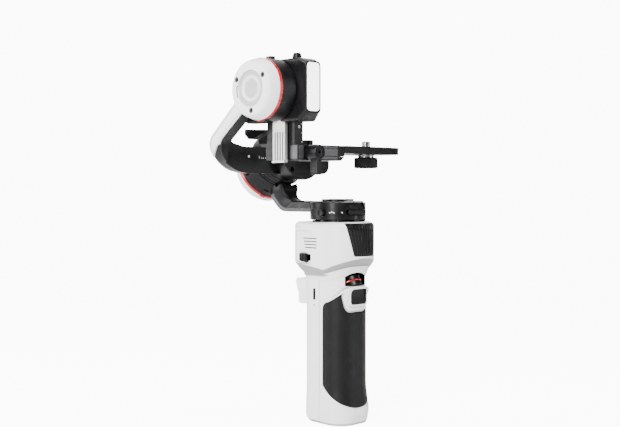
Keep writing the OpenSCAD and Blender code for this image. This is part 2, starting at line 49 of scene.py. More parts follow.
class Nodes:
    """A material's node tree, with short calls for the nodes used below."""

    def __init__(self, name):
        self.material = bpy.data.materials.new(name)
        self.material.use_nodes = True
        self.tree = self.material.node_tree
        self.shader = self.tree.nodes["Principled BSDF"]
        self.place = self.add("ShaderNodeTexCoord").outputs["Object"]

    def add(self, kind, **values):
        node = self.tree.nodes.new(kind)
        for key, value in values.items():
            setattr(node, key, value)
        return node

    def link(self, source, target):
        self.tree.links.new(source, target)

    def stretched(self, stretch):
        mapping = self.add("ShaderNodeMapping")
        mapping.inputs["Scale"].default_value = stretch
        self.link(self.place, mapping.inputs["Vector"])
        return mapping.outputs["Vector"]

    def noise(self, size, detail=4.0, stretch=(1, 1, 1)):
        """Noise whose features are about size millimetres across."""
        node = self.add("ShaderNodeTexNoise")
        node.inputs["Scale"].default_value = 1 / (size * MM)
        node.inputs["Detail"].default_value = detail
        self.link(self.stretched(stretch), node.inputs["Vector"])
        return node.outputs["Fac"]

    def cells(self, size):
        node = self.add("ShaderNodeTexVoronoi", feature="SMOOTH_F1")
        node.inputs["Scale"].default_value = 1 / (size * MM)
        self.link(self.place, node.inputs["Vector"])
        return node.outputs["Distance"]

    def remap(self, value, low, high, source=(0.3, 0.7)):
        node = self.add("ShaderNodeMapRange")
        node.inputs["From Min"].default_value = source[0]
        node.inputs["From Max"].default_value = source[1]
        node.inputs["To Min"].default_value = low
        node.inputs["To Max"].default_value = high
        self.link(value, node.inputs["Value"])
        return node.outputs["Result"]

    def mix(self, factor, first, second):
        node = self.add("ShaderNodeMix", data_type="RGBA")
        for slot, value in ((0, factor), (6, first), (7, second)):
            if hasattr(value, "is_linked"):
                self.link(value, node.inputs[slot])
            else:
                node.inputs[slot].default_value = value
        return node.outputs[2]

    def bump(self, height, strength, depth, under=None):
        node = self.add("ShaderNodeBump")
        node.inputs["Strength"].default_value = strength
        node.inputs["Distance"].default_value = depth * MM
        self.link(height, node.inputs["Height"])
        if under:
            self.link(under, node.inputs["Normal"])
        return node.outputs["Normal"]


def rgb(red, green, blue):
    return (red, green, blue, 1.0)


PAINTED_SHADE_REACH = 2.5            # how far from a corner the painted shade reaches


def surface(name, color, roughness, metallic=0.0, tone=0.06, grain=(0.25, 0.15, 0.02), coat=0.0,
            stretch=(1, 1, 1), uneven=0.06, leather=0.0, shine=0.5, crease_painted_shade=0.0):
    """A moulded, painted or machined finish: colour drift, uneven gloss, surface grain, painted shade in
    inner corners.

    grain is the grain's size in millimetres, its strength and its depth.
    """
    nodes = Nodes(name)
    shader = nodes.shader
    drift = nodes.noise(14, 3)
    dark = rgb(*[c * (1 - tone) for c in color])
    light = rgb(*[min(c * (1 + tone), 1) for c in color])
    shade = nodes.mix(nodes.remap(drift, 0, 1), dark, light)
    fine = nodes.noise(grain[0], 5, stretch)
    # painted shade: ambient occlusion darkens the colour towards black in inner corners and folds, where
    # shade falls
    if crease_painted_shade:
        shade_probe = nodes.add("ShaderNodeAmbientOcclusion")
        shade_probe.inputs["Distance"].default_value = PAINTED_SHADE_REACH * MM
        hollow = nodes.remap(shade_probe.outputs["AO"], crease_painted_shade, 0, source=(0.35, 0.95))
        shade = nodes.mix(hollow, shade, rgb(*[c * 0.12 for c in color]))
    nodes.link(shade, shader.inputs["Base Color"])
    gloss = nodes.remap(nodes.noise(5, 4), roughness - uneven, roughness + uneven)
    nodes.link(gloss, shader.inputs["Roughness"])
    normal = nodes.bump(fine, grain[1], grain[2])
    if leather:
        normal = nodes.bump(nodes.cells(0.9), leather, 0.08, normal)
    nodes.link(normal, shader.inputs["Normal"])
    shader.inputs["Metallic"].default_value = metallic
    shader.inputs["Coat Weight"].default_value = coat
    shader.inputs["Coat Roughness"].default_value = 0.25
    shader.inputs["Specular IOR Level"].default_value = shine
    return nodes.material


def glow(name, strength):
    """A milky diffuser lit from behind, a little dimmer in places."""
    nodes = Nodes(name)
    level = nodes.remap(nodes.noise(9, 2), strength * 0.94, strength * 1.04)
    nodes.link(level, nodes.shader.inputs["Emission Strength"])
    nodes.shader.inputs["Emission Color"].default_value = rgb(1, 0.995, 0.98)
    nodes.shader.inputs["Base Color"].default_value = rgb(0.9, 0.9, 0.88)
    normal = nodes.bump(nodes.cells(0.6), 0.2, 0.05)
    nodes.link(normal, nodes.shader.inputs["Normal"])
    return nodes.material


WHITE = surface("white_shell", (0.8, 0.8, 0.79), 0.36, tone=0.02, grain=(0.3, 0.12, 0.02), coat=0.1,
                crease_painted_shade=0.95)
CAP_WHITE = surface("white_cap", (0.8, 0.8, 0.79), 0.3, tone=0.015, grain=(0.3, 0.08, 0.02), coat=0.2,
                    crease_painted_shade=1.0)
# painted shade: grey for the white cap's recess floors, standing in for the shade in the recess
CAP_PAINTED_SHADE = surface("cap_recess_painted_shade", (0.4, 0.4, 0.395), 0.4, tone=0.03, grain=(0.3, 0.1, 0.02))
# painted shade: the chin is white plastic facing down, and this grey stands in for its shade
PAINTED_SHADE_GREY = surface("chin_painted_shade", (0.24, 0.24, 0.235), 0.42, tone=0.03, grain=(0.3, 0.15, 0.02),
               crease_painted_shade=0.5)
BLACK = surface("black_plastic", (0.0025, 0.0025, 0.003), 0.36, tone=0.2, grain=(0.22, 0.1, 0.02),
                shine=0.17)
SATIN = surface("black_satin", (0.002, 0.002, 0.0024), 0.26, tone=0.2, grain=(0.22, 0.1, 0.02),
                shine=0.25)
ANODISED = surface("black_anodised", (0.0035, 0.0035, 0.004), 0.32, metallic=0.1, tone=0.15,
                   grain=(0.16, 0.08, 0.02), shine=0.2)
# painted highlight: lighter grey on chamfers, the pan cover and front faces of black parts, where they
# catch the light
HIGHLIGHT_GREY = surface("painted_highlight_grey", (0.05, 0.05, 0.053), 0.36, metallic=0.3, tone=0.08,
                    grain=(0.16, 0.1, 0.02))
RUBBER = surface("grip_rubber", (0.0035, 0.0035, 0.004), 0.5, tone=0.18, grain=(0.12, 0.3, 0.03),
                 leather=0.3, shine=0.15)
RED = surface("red_anodised", (0.42, 0.003, 0.007), 0.28, metallic=0.3, tone=0.08,
              grain=(0.16, 0.12, 0.02), coat=0.2)
RED_KEY = surface("red_key", (0.55, 0.02, 0.02), 0.3, tone=0.05, coat=0.4)
SILVER = surface("silver_lever", (0.5, 0.5, 0.49), 0.34, metallic=0.6, tone=0.03,
                 grain=(0.14, 0.12, 0.01), stretch=(1, 1, 0.04), crease_painted_shade=1.0)
STEEL = surface("turned_steel", (0.5, 0.5, 0.51), 0.28, metallic=1.0, tone=0.06, grain=(0.1, 0.3, 0.02))
BRASS = surface("turned_brass", (0.72, 0.55, 0.26), 0.3, metallic=1.0, tone=0.08, grain=(0.1, 0.3, 0.02))
COPPER = surface("wound_core", (0.42, 0.2, 0.1), 0.4, metallic=0.8, tone=0.25, grain=(0.4, 0.6, 0.1))
NICKEL = surface("magnet_nickel", (0.5, 0.49, 0.46), 0.25, metallic=1.0, tone=0.05)
BOARD = surface("solder_mask", (0.01, 0.11, 0.05), 0.3, tone=0.2, grain=(1.2, 0.3, 0.05), coat=0.3)
WRAP = surface("cell_wrap", (0.03, 0.12, 0.32), 0.25, tone=0.08, coat=0.4)
GLASS = surface("display_window", (0.008, 0.009, 0.011), 0.08, tone=0.2, grain=(3, 0.02, 0.01), coat=1.0,
                uneven=0.02)
MARK = surface("white_mark", (0.75, 0.75, 0.74), 0.5, tone=0.05)
DARK_MARK = surface("dark_mark", (0.05, 0.05, 0.05), 0.5, tone=0.1)
PAD = surface("plate_pad", (0.05, 0.05, 0.052), 0.62, tone=0.15, grain=(0.3, 0.6, 0.05))
LIGHT = glow("lit_diffuser", 3.2)


# ---------- outlines ----------

def arc(cx, cy, radius, start, end, steps=8):
    """Points of an arc, angles in degrees."""
    turns = [math.radians(start + (end - start) * i / steps) for i in range(steps + 1)]
    return [(cx + radius * math.cos(t), cy + radius * math.sin(t)) for t in turns]


def rounded(x, y, radius, steps=8):
    """Rounded rectangle between two ranges, anticlockwise."""
    corners = [(x[1] - radius, y[1] - radius, 0), (x[0] + radius, y[1] - radius, 90),
               (x[0] + radius, y[0] + radius, 180), (x[1] - radius, y[0] + radius, 270)]
    points = []
    for cx, cy, start in corners:
        points += arc(cx, cy, radius, start, start + 90, steps)
    return points


def rounded_polygon(points, radius, steps=5):
    """A polygon with every corner rounded; radius is one number or one for each corner."""
    result = []
    count = len(points)
    for i, corner in enumerate(points):
        here = Vector(corner)
        back = Vector(points[i - 1]) - here
        ahead = Vector(points[(i + 1) % count]) - here
        r = radius[i] if isinstance(radius, (list, tuple)) else radius
        half = back.angle(ahead) / 2
        reach = min(r / math.tan(half), back.length * 0.48, ahead.length * 0.48)
        start, end = here + back.normalized() * reach, here + ahead.normalized() * reach
        for k in range(steps + 1):
            t = k / steps
            result.append(tuple(start * (1 - t) ** 2 + here * 2 * t * (1 - t) + end * t * t))
    return result


# ---------- meshes ----------

def applied(obj):
    """Turns the piece's modifiers into plain mesh."""
    evaluated = obj.evaluated_get(bpy.context.evaluated_depsgraph_get())
    mesh = bpy.data.meshes.new_from_object(evaluated)
    obj.modifiers.clear()
    obj.data = mesh
    return mesh


def finished(obj, smooth=32):
    """Applies the modifiers and shades the piece smooth up to the given angle, flats staying flat."""
    mesh = applied(obj)
    mesh.polygons.foreach_set("use_smooth", [True] * len(mesh.polygons))
    mesh.set_sharp_from_angle(angle=math.radians(smooth))
    modifier = obj.modifiers.new("normals", "WEIGHTED_NORMAL")
    modifier.keep_sharp = True
    applied(obj)


def as_object(name, bm, material):
    bmesh.ops.remove_doubles(bm, verts=bm.verts, dist=0.0005)
    bmesh.ops.recalc_face_normals(bm, faces=bm.faces)
    for vertex in bm.verts:
        vertex.co *= MM
    mesh = bpy.data.meshes.new(name)
    bm.to_mesh(mesh)
    bm.free()
    obj = bpy.data.objects.new(name, mesh)
    bpy.context.scene.collection.objects.link(obj)
    mesh.materials.append(material)
    return obj


def loft(rings, closed=True, caps=True):
    """Mesh through rings of equal point count; caps close its two ends."""
    bm = bmesh.new()
    rows = [[bm.verts.new(point) for point in ring] for ring in rings]
    count = len(rings[0])
    stop = count if closed else count - 1
    for lower, upper in zip(rows, rows[1:]):
        for i in range(stop):
            j = (i + 1) % count
            bm.faces.new((lower[i], lower[j], upper[j], upper[i]))
    if caps:
        bm.faces.new(list(reversed(rows[0])))
        bm.faces.new(rows[-1])
    return bm


AXES = {
    "x": lambda a, b, h: (h, a, b),
    "y": lambda a, b, h: (a, h, b),
    "z": lambda a, b, h: (a, b, h),
}


def extrusion(outline, axis, low, high):
    """Prism of an outline along one axis; the outline is drawn in the other two."""
    place = AXES[axis]
    return loft([[place(a, b, low) for a, b in outline], [place(a, b, high) for a, b in outline]])


def turned(profile, frame_matrix=None, steps=96):
    """Solid of revolution about +Z from a closed outline of (radius, height) points."""
    bm = bmesh.new()
    rows = []
    for i in range(steps):
        turn = 2 * math.pi * i / steps
        rows.append([bm.verts.new((r * math.cos(turn), r * math.sin(turn), z)) for r, z in profile])
    count = len(profile)
    for i in range(steps):
        here, ahead = rows[i], rows[(i + 1) % steps]
        for k in range(count):
            m = (k + 1) % count
            if max(profile[k][0], profile[m][0]) > 1e-6:
                bm.faces.new((here[k], ahead[k], ahead[m], here[m]))
    bmesh.ops.remove_doubles(bm, verts=bm.verts, dist=1e-5)
    bmesh.ops.dissolve_degenerate(bm, dist=1e-5, edges=bm.edges)
    if frame_matrix:
        bmesh.ops.transform(bm, matrix=frame_matrix, verts=bm.verts)
    return bm


def combine(obj, bm, operation, material=None):
    """Adds or takes away a volume; material is what the new faces get."""
    tool = as_object("tool", bm, material or obj.data.materials[0])
    modifier = obj.modifiers.new("combine", "BOOLEAN")
    modifier.operation = operation
    modifier.solver = "EXACT"
    modifier.material_mode = "TRANSFER"
    modifier.object = tool
    applied(obj)
    bpy.data.objects.remove(tool)


def soften(obj, width=0.4, segments=3, angle=32):
    """Rounds the piece's sharp edges."""
    modifier = obj.modifiers.new("soften", "BEVEL")
    modifier.width = width * MM
    modifier.segments = segments
    modifier.limit_method = "ANGLE"
    modifier.angle_limit = math.radians(angle)
    modifier.use_clamp_overlap = True


def piece(name, bm, material, body, *nodes, edge=0.4, add=(), keep=(), cuts=(), cuts_with_painted_shade=(), angle=32):
    """One visible piece on its body, standing for its CAD nodes: added to, cut, and softened."""
    obj = as_object(name, bm, material)
    for shape in add:
        combine(obj, shape, "UNION")
    for shape in keep:
        combine(obj, shape, "INTERSECT")
    for shape in cuts:
        combine(obj, shape, "DIFFERENCE")
    # painted shade: the walls these cuts leave get the black satin finish, standing in for the shade
    # inside openings, slots and seams
    for shape in cuts_with_painted_shade:
        combine(obj, shape, "DIFFERENCE", SATIN)
    if edge:
        soften(obj, edge, angle=angle)
    finished(obj)
    attach(obj, material, body, *nodes)


def attach(obj, material, body, *nodes):
    """Puts a piece on its body, in place of its CAD nodes."""
    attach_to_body(obj, body)
    if nodes:
        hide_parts(*nodes)


def merged(shapes):
    """Several separate volumes as one mesh."""
    whole = bmesh.new()
    for bm in shapes:
        mesh = bpy.data.meshes.new("part")
        bm.to_mesh(mesh)
        bm.free()
        whole.from_mesh(mesh)
        bpy.data.meshes.remove(mesh)
    return whole


def block(x, y, z):
    """Plain box between three ranges, for cutters and as the start of a piece."""
    return extrusion([(x[0], y[0]), (x[1], y[0]), (x[1], y[1]), (x[0], y[1])], "z", z[0], z[1])


def moved(bm, x=0.0, y=0.0, z=0.0, turn=0.0, axis="Z", matrix=None):
    """The volume turned about an axis through the origin, shifted, then put in another frame."""
    place = Matrix.Translation((x, y, z)) @ Matrix.Rotation(math.radians(turn), 4, axis)
    if matrix:
        place = matrix @ place
    bmesh.ops.transform(bm, matrix=place, verts=bm.verts)
    return bm


def disc(radius, low, high, matrix=None, steps=48):
    return turned([(0, low), (radius, low), (radius, high), (0, high)], matrix, steps)


def along(axis, x=0.0, y=0.0, z=0.0):
    """Frame at a point, with its +Z along the named axis."""
    turns = {"x": Matrix.Rotation(math.pi / 2, 4, "Y"), "y": Matrix.Rotation(-math.pi / 2, 4, "X")}
    return Matrix.Translation((x, y, z)) @ turns[axis]


# Frames of the turning parts: +Z along the axis, outwards
CENTRE_Z = 231.6
ROLL = Matrix.Translation((0, 0, CENTRE_Z)) @ Matrix.Rotation(math.radians(-125), 4, "X")
TILT_Y = -5.5
TILT = Matrix.Translation((0, TILT_Y, CENTRE_Z)) @ Matrix.Rotation(math.radians(-90), 4, "Y")
DIAL = Matrix.Translation((0, -11.6, 98.6)) @ Matrix.Rotation(math.radians(-25), 4, "X")


def smoothstep(value, low, high):
    t = min(max((value - low) / (high - low), 0), 1)
    return t * t * (3 - 2 * t)


# ---------- handle ----------

TUBE = {"w": 17.2, "d": 20.0, "cy": 2.0, "r": 13.0}
HALF_GIRTH = 63.24        # from the front centre round to the rear centre
GRIP_HALF = 28.3          # from the front centre round to the grip's rear edge
RIDGE_END = 16.6          # half the width of the ledge over the trigger


def tube_point(u):
    """Point and outward normal on the handle's outline, u millimetres round from the front centre."""
    t = abs(u)
    w, d, cy, r = TUBE["w"], TUBE["d"], TUBE["cy"], TUBE["r"]
    flat, quarter, side = w - r, r * math.pi / 2, 2 * (d - r)
    if t < flat:
        x, y, nx, ny = t, cy - d, 0, -1
    elif t < flat + quarter:
        a = (t - flat) / r
        nx, ny = math.sin(a), -math.cos(a)
        x, y = flat + r * nx, cy - d + r + r * ny
    elif t < flat + quarter + side:
        x, y, nx, ny = w, cy - d + r + t - flat - quarter, 1, 0
    elif t < flat + 2 * quarter + side:
        a = (t - flat - quarter - side) / r
        nx, ny = math.cos(a), math.sin(a)
        x, y = flat + r * nx, cy + d - r + r * ny
    else:
        x, y, nx, ny = 2 * flat + 2 * quarter + side - t, cy + d, 0, 1
    sign = 1 if u >= 0 else -1
    return sign * x, y, sign * nx, ny


def skin(u, z, out=0.0):
    """Point on the handle's surface: it swells forward near the foot and flares under the chin."""
    x, y, nx, ny = tube_point(u)
    out += 1.7 * max(-ny, 0) * (1 - smoothstep(z, 9, 30))
    out += 0.5 * (1 - smoothstep(z, 8, 26))
    return x + nx * out, y + ny * out, z


def grip_low(u):
    """Lower edge of the rubber."""
    return 11.8 + 15.9 * min(abs(u) / GRIP_HALF, 1) ** 1.95


def ridge(x):
    """Height of the ledge over the trigger."""
    return 97.1 - 8.4 * min(abs(x) / RIDGE_END, 1.05) ** 3.1


def grip_high(u):
    """Upper edge of the rubber: two lobes beside the trigger's tongue."""
    x = abs(tube_point(u)[0])
    top = min(79.2 + 12 * (x / 12.4) ** 8, ridge(x) - 1.4)
    into_corner = max(abs(u) - (GRIP_HALF - 5), 0)
    return top - 5.5 + math.sqrt(max(30.25 - (into_corner * 1.1) ** 2, 0))


def patch(columns, low, high, profile):
    """Solid skin over the handle; profile is a list of (share of its height, stand-off)."""
    outer, inner = [], []
    for u in columns:
        z0, z1 = low(u), high(u)
        outer.append([skin(u, z0 + (z1 - z0) * share, out) for share, out in profile(u, z1 - z0)])
        inner.append([skin(u, z0 + (z1 - z0) * share, -1.6) for share, out in profile(u, z1 - z0)])
    return loft([front + list(reversed(back)) for front, back in zip(outer, inner)])


def spread(low, high, count):
    return [low + (high - low) * i / count for i in range(count + 1)]


def grip_columns():
    fine = spread(10.5, 15.5, 26)
    right = spread(0, 10.2, 12) + fine + spread(15.8, GRIP_HALF, 16)
    return [-u for u in reversed(right[1:])] + right


def grip_profile(u, height):
    """Rounded rubber edges, tucked into the shell, with nearly level stretches between."""
    side = max(abs(u) - (GRIP_HALF - 1.4), 0) / 1.4
    swell = 0.55 * math.sqrt(max(1 - side ** 2, 0)) - 0.5 * (side >= 1)
    edge = [(0, -0.8), (0.15, 0.3), (0.5, 0.75), (1.1, 0.95), (2, 1)]
    rows = [(mm / height, swell * part) for mm, part in edge]
    rows += [(share, swell) for share in spread(0.08, 0.92, 16)]
    rows += [(1 - mm / height, swell * part) for mm, part in reversed(edge)]
    return rows


def rubber_grip():
    bm = patch(grip_columns(), grip_low, grip_high, grip_profile)
    piece("rubber_grip", bm, RUBBER, "handle", "rubber_grip", edge=0)


def rim_low(u):
    """Lower edge of the bevelled band under the rubber."""
    return grip_low(u) - 3.7 * (1 - min(abs(u) / GRIP_HALF, 1) ** 2) - 0.15


def chin_low(y):
    """Lower edge of the chin, whose grey is painted shade, where it meets the neck."""
    return 106 + 5.3 * min(max((-y - 3) / 15, 0), 1) ** 1.5


def lip(x):
    """Height of the lip over the front dial."""
    return 106.8 - 4.6 * min(abs(x) / 17.2, 1) ** 2.2


def handle_rows(u):
    """Heights and stand-offs of the shell's rows at one place round the handle."""
    x, y = tube_point(u)[:2]
    rear = smoothstep(y, -8, 12)
    inset = 1.2 + 1.6 * rear
    rows = [(0, -inset), (1.2, -inset * 0.62), (2.8, -inset * 0.18), (4.4, 0)]
    low, high = rim_low(u), grip_low(u)
    rim = 0.75 * (1 - smoothstep(abs(u), GRIP_HALF - 9, GRIP_HALF + 1))
    for share in (0.3, 0.6, 0.85, 0.97):
        rows.append((4.4 + (low - 4.4) * share, rim * smoothstep(share, -0.4, 0.7)))
    rows += [(low, rim), (low + 0.06, rim * 0.9), (high, -0.05), (high + 0.8, -0.1)]
    base = high + 0.8
    rows += [(base + (95 - base) * share, 0) for share in spread(0.1, 1, 9)]
    front = smoothstep(-y, 2, 12)
    z_lip, z_top = lip(x), chin_low(y)
    step = 0.8 * front
    low_lip = 100.5 + (z_lip - 100.5) * front
    rows += [(98.2 - 1.2 * front * (abs(x) / 17.2) ** 2, 0), (low_lip - 0.5, 0.1 * (1 - front)),
             (low_lip, step * 0.7 + 0.2 * (1 - front)), (low_lip + 0.3, step + 0.3 * (1 - front))]
    for share in (0.35, 0.7, 1.0):
        rows.append((low_lip + 0.3 + (z_top - low_lip - 0.3) * share, step + 0.3 + 1.5 * share ** 1.6))
    rows.append((z_top + 2.5, 0.6))
    return rows


def handle_shell():
    """White shell of the handle, from foot to neck, with its openings."""
    columns = [[skin(u, z, out) for z, out in handle_rows(u)]
               for u in spread(-HALF_GIRTH, HALF_GIRTH, 220)[:-1]]
    levels = [list(ring) for ring in zip(*columns)]
    arch = rounded_polygon([(-10.3, 97.6), (10.3, 97.6), (10.3, 104.3), (5.6, 106.2), (0, 106.9),
                            (-5.6, 106.2), (-10.3, 104.3)], [0.3, 0.3, 0.4, 6, 6, 6, 0.4])
    seams = [block((s * 19, s * 16.85), (1.5, 1.74), (-1, 104)) for s in (-1, 1)]
    usb = extrusion(rounded((5.6, 8.0), (87.05, 95.55), 1.1), "x", -19, -15.4)
    led = disc(0.6, -19, -16.2, along("x", 0, 6.8, 83.5), 16)
    wheel = block((13.4, 20), (-0.5, 10.5), (86.1, 97.9))
    trigger = extrusion(rounded((-7.9, 7.9), (84.5, 95.6), 2), "y", -30, -14)
    dial = extrusion(arch, "y", -30, -2.4)
    piece("handle_shell", loft(levels), WHITE, "handle", "handle_front_shell", "handle_rear_shell",
          "base_cap", edge=0, cuts=seams, cuts_with_painted_shade=(usb, led, wheel, trigger, dial))


def tongue_low(u):
    x = abs(tube_point(u)[0])
    return min(79.7 + 12 * (x / 12.1) ** 8, ridge(x) - 1.1)


def tongue_high(u):
    return ridge(tube_point(u)[0])


def tongue_profile(u, height):
    """The tongue bulges at its lower rim and sweeps out into a ledge under the dial."""
    x = abs(tube_point(u)[0])
    fade = max(1 - (x / 18.5) ** 2.4, 0)
    ledge = 3.7 * fade
    body = 1.3 * max(1 - (x / 13) ** 6, 0)
    low_part = [(0, -0.7), (0.25, 0.5), (0.8, 1.0)]
    rows = [(min(mm, height * 0.4) / height, body * part) for mm, part in low_part]
    for share in (0.5, 0.62, 0.74, 0.84):
        rows.append((share, body + (ledge - body) * smoothstep(share, 0.45, 1.0)))
    top = [(1.2, 0.92), (0.6, 1.0), (0.1, 1.0), (-0.2, 0.9), (-0.4, 0.5), (-0.45, -0.1)]
    rows += [(1 - mm / height, ledge * part + 0.2 * part) for mm, part in top]
    return rows


def trigger_bezel():
    """White tongue round the trigger, with a raised frame round its opening."""
    opening = rounded((-7.75, 7.75), (84.7, 95.45), 2.2)
    tongue = patch(spread(-22.6, 22.6, 96), tongue_low, tongue_high, tongue_profile)
    piece("trigger_bezel", tongue, WHITE, "handle", "trigger_bezel", edge=0,
          cuts_with_painted_shade=(extrusion(opening, "y", -30, -14),))
    rim = rounded((-8.95, 8.95), (82.9, 96.4), 3)
    piece("trigger_frame", extrusion(rim, "y", -20.3, -17.2), WHITE, "handle", edge=0.5,
          cuts=(extrusion(opening, "y", -30, -14),))


def trigger_button():
    outline = rounded((-7.4, 7.4), (85, 95.1), 2)
    crease = moved(disc(0.5, -5.2, 5.2, along("x", 0, -20.75, 87.9), 16))
    scoop = moved(disc(26, -6.6, 6.6, along("x", 0, -45.9, 91.5), 96))
    piece("trigger_button", extrusion(outline, "y", -20.5, -15.2), BLACK, "trigger",
          "trigger_button", edge=0.55, cuts=(scoop, crease))


def front_dial():
    """Knurled barrel with a red band round its middle."""
    barrel = [knurled_ring(8.4, low, high, 90, 0.16) for low, high in ((-3.6, -0.52), (0.52, 3.6))]
    barrel.append(turned([(1.53, -3), (7.4, -3), (7.4, 3), (1.53, 3)]))
    piece("front_dial", moved(merged(barrel), matrix=DIAL), SATIN, "dial", "front_dial", edge=0)
    band = turned([(7, -0.5), (8.45, -0.48), (8.6, -0.3), (8.6, 0.3), (8.45, 0.48), (7, 0.5)], DIAL)
    piece("dial_band", band, RED, "dial", edge=0)


def knurled_ring(radius, low, high, teeth, depth, chamfer=0.35):
    """Disc whose rim is cut into straight teeth."""
    rings = []
    for z in [low] + spread(low + chamfer, high - chamfer, 4) + [high]:
        ring = []
        reach = radius - (chamfer if z in (low, high) else 0)
        for i in range(teeth * 2):
            turn = math.pi * i / teeth
            r = reach - (depth if i % 2 else 0)
            ring.append((r * math.cos(turn), r * math.sin(turn), z))
        rings.append(ring)
    return loft(rings)


def side_wheel():
    wheel = knurled_ring(5.4, -5, 5, 36, 0.3)
    piece("side_wheel", moved(wheel, matrix=along("y", 14, 5, 92)), SATIN, "wheel", "side_wheel", edge=0)


def control_block():
    """Rear housing for the joystick and two buttons."""
    outline = ([(14, 83.2), (24.5, 83.2)] + arc(24.5, 85.7, 2.5, -90, 0, 6) + [(26.9, 91), (28, 93)]
               + arc(27, 99, 2.6, 0, 90, 6) + [(14, 101.6)])
    tube = extrusion([tube_point(u)[:2] for u in spread(-60, 60, 90)], "z", 60, 110)
    stick, key_z = along("y", 0, 0, 96.3), 87.6
    holes = [disc(3.2, 20, 34, along("y", x, 0, key_z)) for x in (-6, 6)]
    holes.append(turned([(0, 19.9), (3.3, 19.9), (3.3, 27.8), (4.4, 30), (0, 30)], stick))
    piece("control_block", extrusion(outline, "x", -13, 13), WHITE, "handle", "control_block",
          edge=1.1, cuts_with_painted_shade=holes, cuts=(tube,), angle=50)
    cap = turned([(0, 21.5), (1.6, 21.5), (1.6, 30.6), (3.6, 30.6), (4.2, 31), (4.1, 31.7),
                  (3.4, 32.2), (2.2, 31.9), (0, 31.7)], stick)
    piece("joystick", cap, BLACK, "stick", "joystick", edge=0)
    for name, x, material in (("record", -6, RED_KEY), ("mode", 6, BLACK)):
        key = turned([(0, 21.6), (3.4, 21.6), (3.4, 22.4), (3, 22.4), (3, 27.6), (2.7, 27.95),
                      (1.4, 28), (0, 27.8)], along("y", x, 0, key_z))
        piece(name + "_button", key, material, name + "_key", name + "_button", edge=0)


# ---------- head ----------

HEAD_TOP = 142.5
TOP_ROUND = 3.4               # radius of the head's upper edge
NOSE_Y, NOSE_R = -6, 21.4     # round front of the head


def between(a, b, t):
    """Point at a share t of the way from a to b."""
    return a[0] + (b[0] - a[0]) * t, a[1] + (b[1] - a[1]) * t


def straight(start, end, count=16):
    """Points strictly between two points."""
    return [between(start, end, k / count) for k in range(1, count)]


def head_ring(grow, z):
    """Outline of the head: square behind, round in front; z is a number or a function of the point."""
    rear, nose = 6 + grow, NOSE_R + grow
    right, left = arc(15, 20, rear, 0, 90, 10), arc(-15, 20, rear, 90, 180, 10)
    front = arc(0, NOSE_Y, nose, 180, 360, 60)
    points = right + straight(right[-1], left[0]) + left + straight(left[-1], front[0])
    points += front + straight(front[-1], right[0])
    return [(x, y, z(x, y) if callable(z) else z) for x, y in points]


def chin_top(x, y):
    """Border between the white head and the chin, painted grey as shade: a shallow V with its tip near
    the front.
    """
    if y < NOSE_Y:
        return 108.9 + 8.4 * (NOSE_Y - y) / NOSE_R
    return 108.9 + 5.1 * (y - NOSE_Y) / 32


NECK_FLARE = 1.8              # how far the neck's top stands out from the tube


def chin():
    """Underside that spreads from the neck to the head, its white plastic painted grey as shade."""
    rings = []
    for share, tuck, drop in ((0, 1, 1.5), (0, 1, 0), (0.25, 1, 0), (0.5, 1, 0), (0.75, 1, 0),
                              (0.93, 1, 0), (1, 0.988, 0)):
        ring = []
        for (x0, y0, z0), (x1, y1, z1) in zip(neck_ring(), head_ring(0, chin_top)):
            bow = 0.9 * math.sin(math.pi * share) * (0.5 + 0.5 * smoothstep(-y1, -10, 20))
            x, y = between((x0, y0), (x1 * tuck, y1 * tuck), share)
            ring.append((x, y, z0 + (z1 - z0) * share - bow - drop))
        rings.append(ring)
    rings.append([(x * 0.97, y * 0.97, z + 3) for x, y, z in head_ring(-1, chin_top)])
    piece("head_chin", loft(rings), PAINTED_SHADE_GREY, "handle", "head_floor", edge=0)


def neck_ring():
    """Top of the neck, point for point with the head's outline."""
    ring = []
    for x, y, _ in head_ring(0, 0.0):
        px, py, nx, ny = tube_point(round_the_tube(x, y))
        ring.append((px + nx * NECK_FLARE, py + ny * NECK_FLARE, chin_low(py)))
    return ring


def round_the_tube(x, y):
    """Place round the handle nearest the direction of a point on the head."""
    best = min(spread(0, 63.2, 316), key=lambda u: miss(u, abs(x), y))
    return best if x >= 0 else -best


def miss(u, x, y):
    """Angle between a point of the tube and another point, seen from the tube's axis."""
    px, py = tube_point(u)[:2]
    axis_y = TUBE["cy"]
    return abs(math.atan2(px, axis_y - py) - math.atan2(x, axis_y - y))


def head_rings():
    """Rows of the white head, from its lower border up round its top edge."""
    above = lambda x, y: chin_top(x, y) + 0.4
    rings = [head_ring(-1.2, above), head_ring(-0.35, chin_top), head_ring(0, above)]
    bend_z = HEAD_TOP - TOP_ROUND
    for share in (0.25, 0.5, 0.75):
        rings.append(head_ring(0, lambda x, y: chin_top(x, y) * (1 - share) + bend_z * share))
    for turn in spread(0, math.pi / 2, 7):
        rings.append(head_ring(TOP_ROUND * (math.cos(turn) - 1), bend_z + TOP_ROUND * math.sin(turn)))
    return rings


def head_shell():
    """White head with the openings for the grille, the display, the switch and the vents."""
    grille = rounded_polygon([(-9.9, 118.5), (9.9, 118.5), (15, 141.8), (-15, 141.8)],
                             [1.4, 1.4, 0.8, 0.8])
    recess = rounded_polygon([(21.6, 136.2), (21.6, 115), (17, 112.6), (6, 112.2), (5.6, 122),
                              (5.6, 136.2)], 1.2)
    power = extrusion(rounded((7, 17.1), (114.9, 119.6), 0.8), "x", -30, -18)
    seam = block((-25, -20.75), (16.4, 21.5), (139.1, 139.3))
    window = extrusion(rounded((-15.2, 15.2), (118.8, 138.2), 2.5), "y", 25.2, 30)
    piece("head_shell", loft(head_rings()), WHITE, "handle", "head_shell", edge=0.35, angle=40,
          cuts=(extrusion(recess, "x", -30, -20.55), extrusion(grille, "y", -35, -15)),
          cuts_with_painted_shade=[vent_line(i) for i in range(4)] + [seam, power, window])


